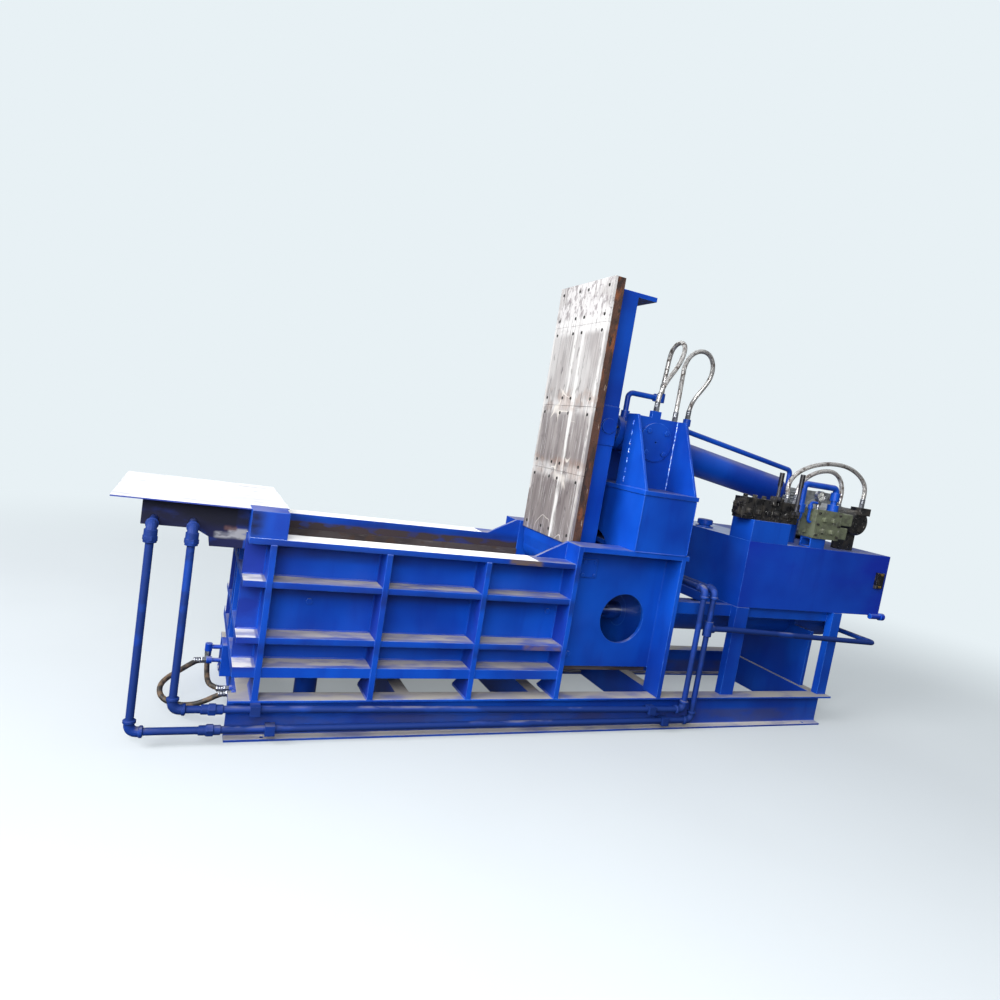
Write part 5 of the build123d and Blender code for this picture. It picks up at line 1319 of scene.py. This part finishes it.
class BALER_OT_fittings(bpy.types.Operator):
    """Screw the threaded elbows and unions onto the two long lock pipes"""
    bl_idname = "baler.fittings"
    bl_label = "Pipe fittings"

    def execute(self, context):
        up = Vector(UP)
        back = Vector(FAR)
        parts = []
        for start, end, heights in LOCK_PIPES:
            low_left = Vector((start, PIPE_Y, heights[0]))
            low_right = Vector((end, PIPE_Y, heights[1]))
            along = (low_right - low_left).normalized()
            parts += [
                (self.elbow, low_left, up, along),
                (self.elbow, low_right, -along, up),
                (self.elbow, Vector((end, PIPE_Y, RISER_TOP)), -up, back),
                (self.elbow, Vector((start, PIPE_Y, LOCK_PIPE_TOP)), -up, back),
                (self.union, low_left + along * (UNION_X - start), along),
                (self.nut, Vector((start, PIPE_Y, LOCK_PIPE_TOP - PIPE_NUT_DROP)), up, *PIPE_NUT),
            ]
        new_piece("pipe_fittings", parts, "pipe_enamel", "frame")
        return {"FINISHED"}

    def elbow(self, shape, corner, first, second):
        """A forged elbow over a pipe's bend, with a rolled band at each mouth."""
        centre = corner + (first + second) * PIPE_BEND
        arc = []
        for step in range(ELBOW_STEPS + 1):
            turn = math.pi / 2 * step / ELBOW_STEPS
            arc.append(centre - (first * math.sin(turn) + second * math.cos(turn)) * PIPE_BEND)
        places = [arc[0] + first * ELBOW_MOUTH, *arc, arc[-1] + second * ELBOW_MOUTH]
        tube_along(shape, places, ELBOW_RADIUS)
        for way in (first, second):
            mouth = corner + way * (PIPE_BEND + ELBOW_MOUTH / 2)
            turned(shape, mouth, way, ELBOW_BAND, 16)

    def union(self, shape, middle, along):
        """A pipe union: two sleeves with a hexagon nut between them."""
        turned(shape, middle, along, UNION_SLEEVE, 16)
        self.nut(shape, middle, along, *UNION_NUT)

    def nut(self, shape, middle, along, corner, long):
        """A chamfered hexagon nut round a pipe."""
        half = long / 2
        chamfer = corner * 0.86
        outline = ((-half, chamfer), (-half * 0.8, corner), (half * 0.8, corner), (half, chamfer))
        turned(shape, middle, along, outline, 6)


class BALER_OT_stage(bpy.types.Operator):
    """Lay the pale floor and set the soft studio light"""
    bl_idname = "baler.stage"
    bl_label = "Stage"

    def execute(self, context):
        stage = context.scene.baler_stage
        shape = bmesh.new()
        bmesh.ops.create_grid(shape, x_segments=2, y_segments=2, size=stage.floor_size / 2)
        floor = mesh_object("floor", shape, "paper")
        floor.visible_glossy = False
        floor.visible_diffuse = False
        for name, power, place, size in LIGHTS:
            light = bpy.data.lights.new(name, "AREA")
            light.energy = getattr(stage, power)
            light.size = size
            lamp = bpy.data.objects.new(name, light)
            context.scene.collection.objects.link(lamp)
            lamp.location = place
            lamp.rotation_mode = "QUATERNION"
            lamp.rotation_quaternion = (Vector(LIGHTS_AIM) - Vector(place)).to_track_quat("-Z", "Y")
        world = bpy.data.worlds.new("studio")
        world.use_nodes = True
        tree = world.node_tree
        tree.nodes.clear()
        way = add_node(tree, "ShaderNodeTexCoord", out="Generated")
        limits = {
            "Value": add_node(tree, "ShaderNodeSeparateXYZ", {0: way}, out="Z"),
            "From Min": SKY_BLEND[0], "From Max": SKY_BLEND[1],
            "To Min": stage.horizon, "To Max": stage.sky,
        }
        strength = add_node(tree, "ShaderNodeMapRange", limits, interpolation_type="SMOOTHSTEP")
        light = add_node(tree, "ShaderNodeBackground", {"Color": "#eef3f7", "Strength": strength})
        backdrop = add_node(tree, "ShaderNodeBackground", {"Color": BACKDROP, "Strength": 1.0})
        seen = add_node(tree, "ShaderNodeLightPath", out="Is Camera Ray")
        both = add_node(tree, "ShaderNodeMixShader", {0: seen, 1: light, 2: backdrop})
        add_node(tree, "ShaderNodeOutputWorld", {"Surface": both})
        context.scene.world = world
        context.scene.view_settings.view_transform = "Standard"
        return {"FINISHED"}


OPERATORS = (
    BALER_OT_camera,
    BALER_OT_hoses,
    BALER_OT_finishes,
    BALER_OT_welds,
    BALER_OT_lid_screws,
    BALER_OT_gauge,
    BALER_OT_screws,
    BALER_OT_fittings,
    BALER_OT_stage,
)
SETTINGS = {
    "baler_paint": BalerPaint,
    "baler_hoses": BalerHoses,
    "baler_fasteners": BalerFasteners,
    "baler_stage": BalerStage,
}


class BALER_PT_panel(bpy.types.Panel):
    """Sizes, colours and pieces of the baler"""
    bl_idname = "BALER_PT_panel"
    bl_label = "Lid baler"
    bl_space_type = "VIEW_3D"
    bl_region_type = "UI"
    bl_category = "Baler"

    def draw(self, context):
        for name, group in SETTINGS.items():
            box = self.layout.box()
            for key in group.__annotations__:
                box.prop(getattr(context.scene, name), key)
        for operator in OPERATORS:
            self.layout.operator(operator.bl_idname)


def register():
    for group in (*SETTINGS.values(), *OPERATORS, BALER_PT_panel):
        bpy.utils.register_class(group)
    for name, group in SETTINGS.items():
        setattr(bpy.types.Scene, name, PointerProperty(type=group))


def unregister():
    for name in SETTINGS:
        delattr(bpy.types.Scene, name)
    for group in reversed((*SETTINGS.values(), *OPERATORS, BALER_PT_panel)):
        bpy.utils.unregister_class(group)


def main():
    """Register the add-on and make every piece."""
    register()
    for operator in OPERATORS:
        area, name = operator.bl_idname.split(".")
        getattr(getattr(bpy.ops, area), name)()


if __name__ == "__main__":
    main()
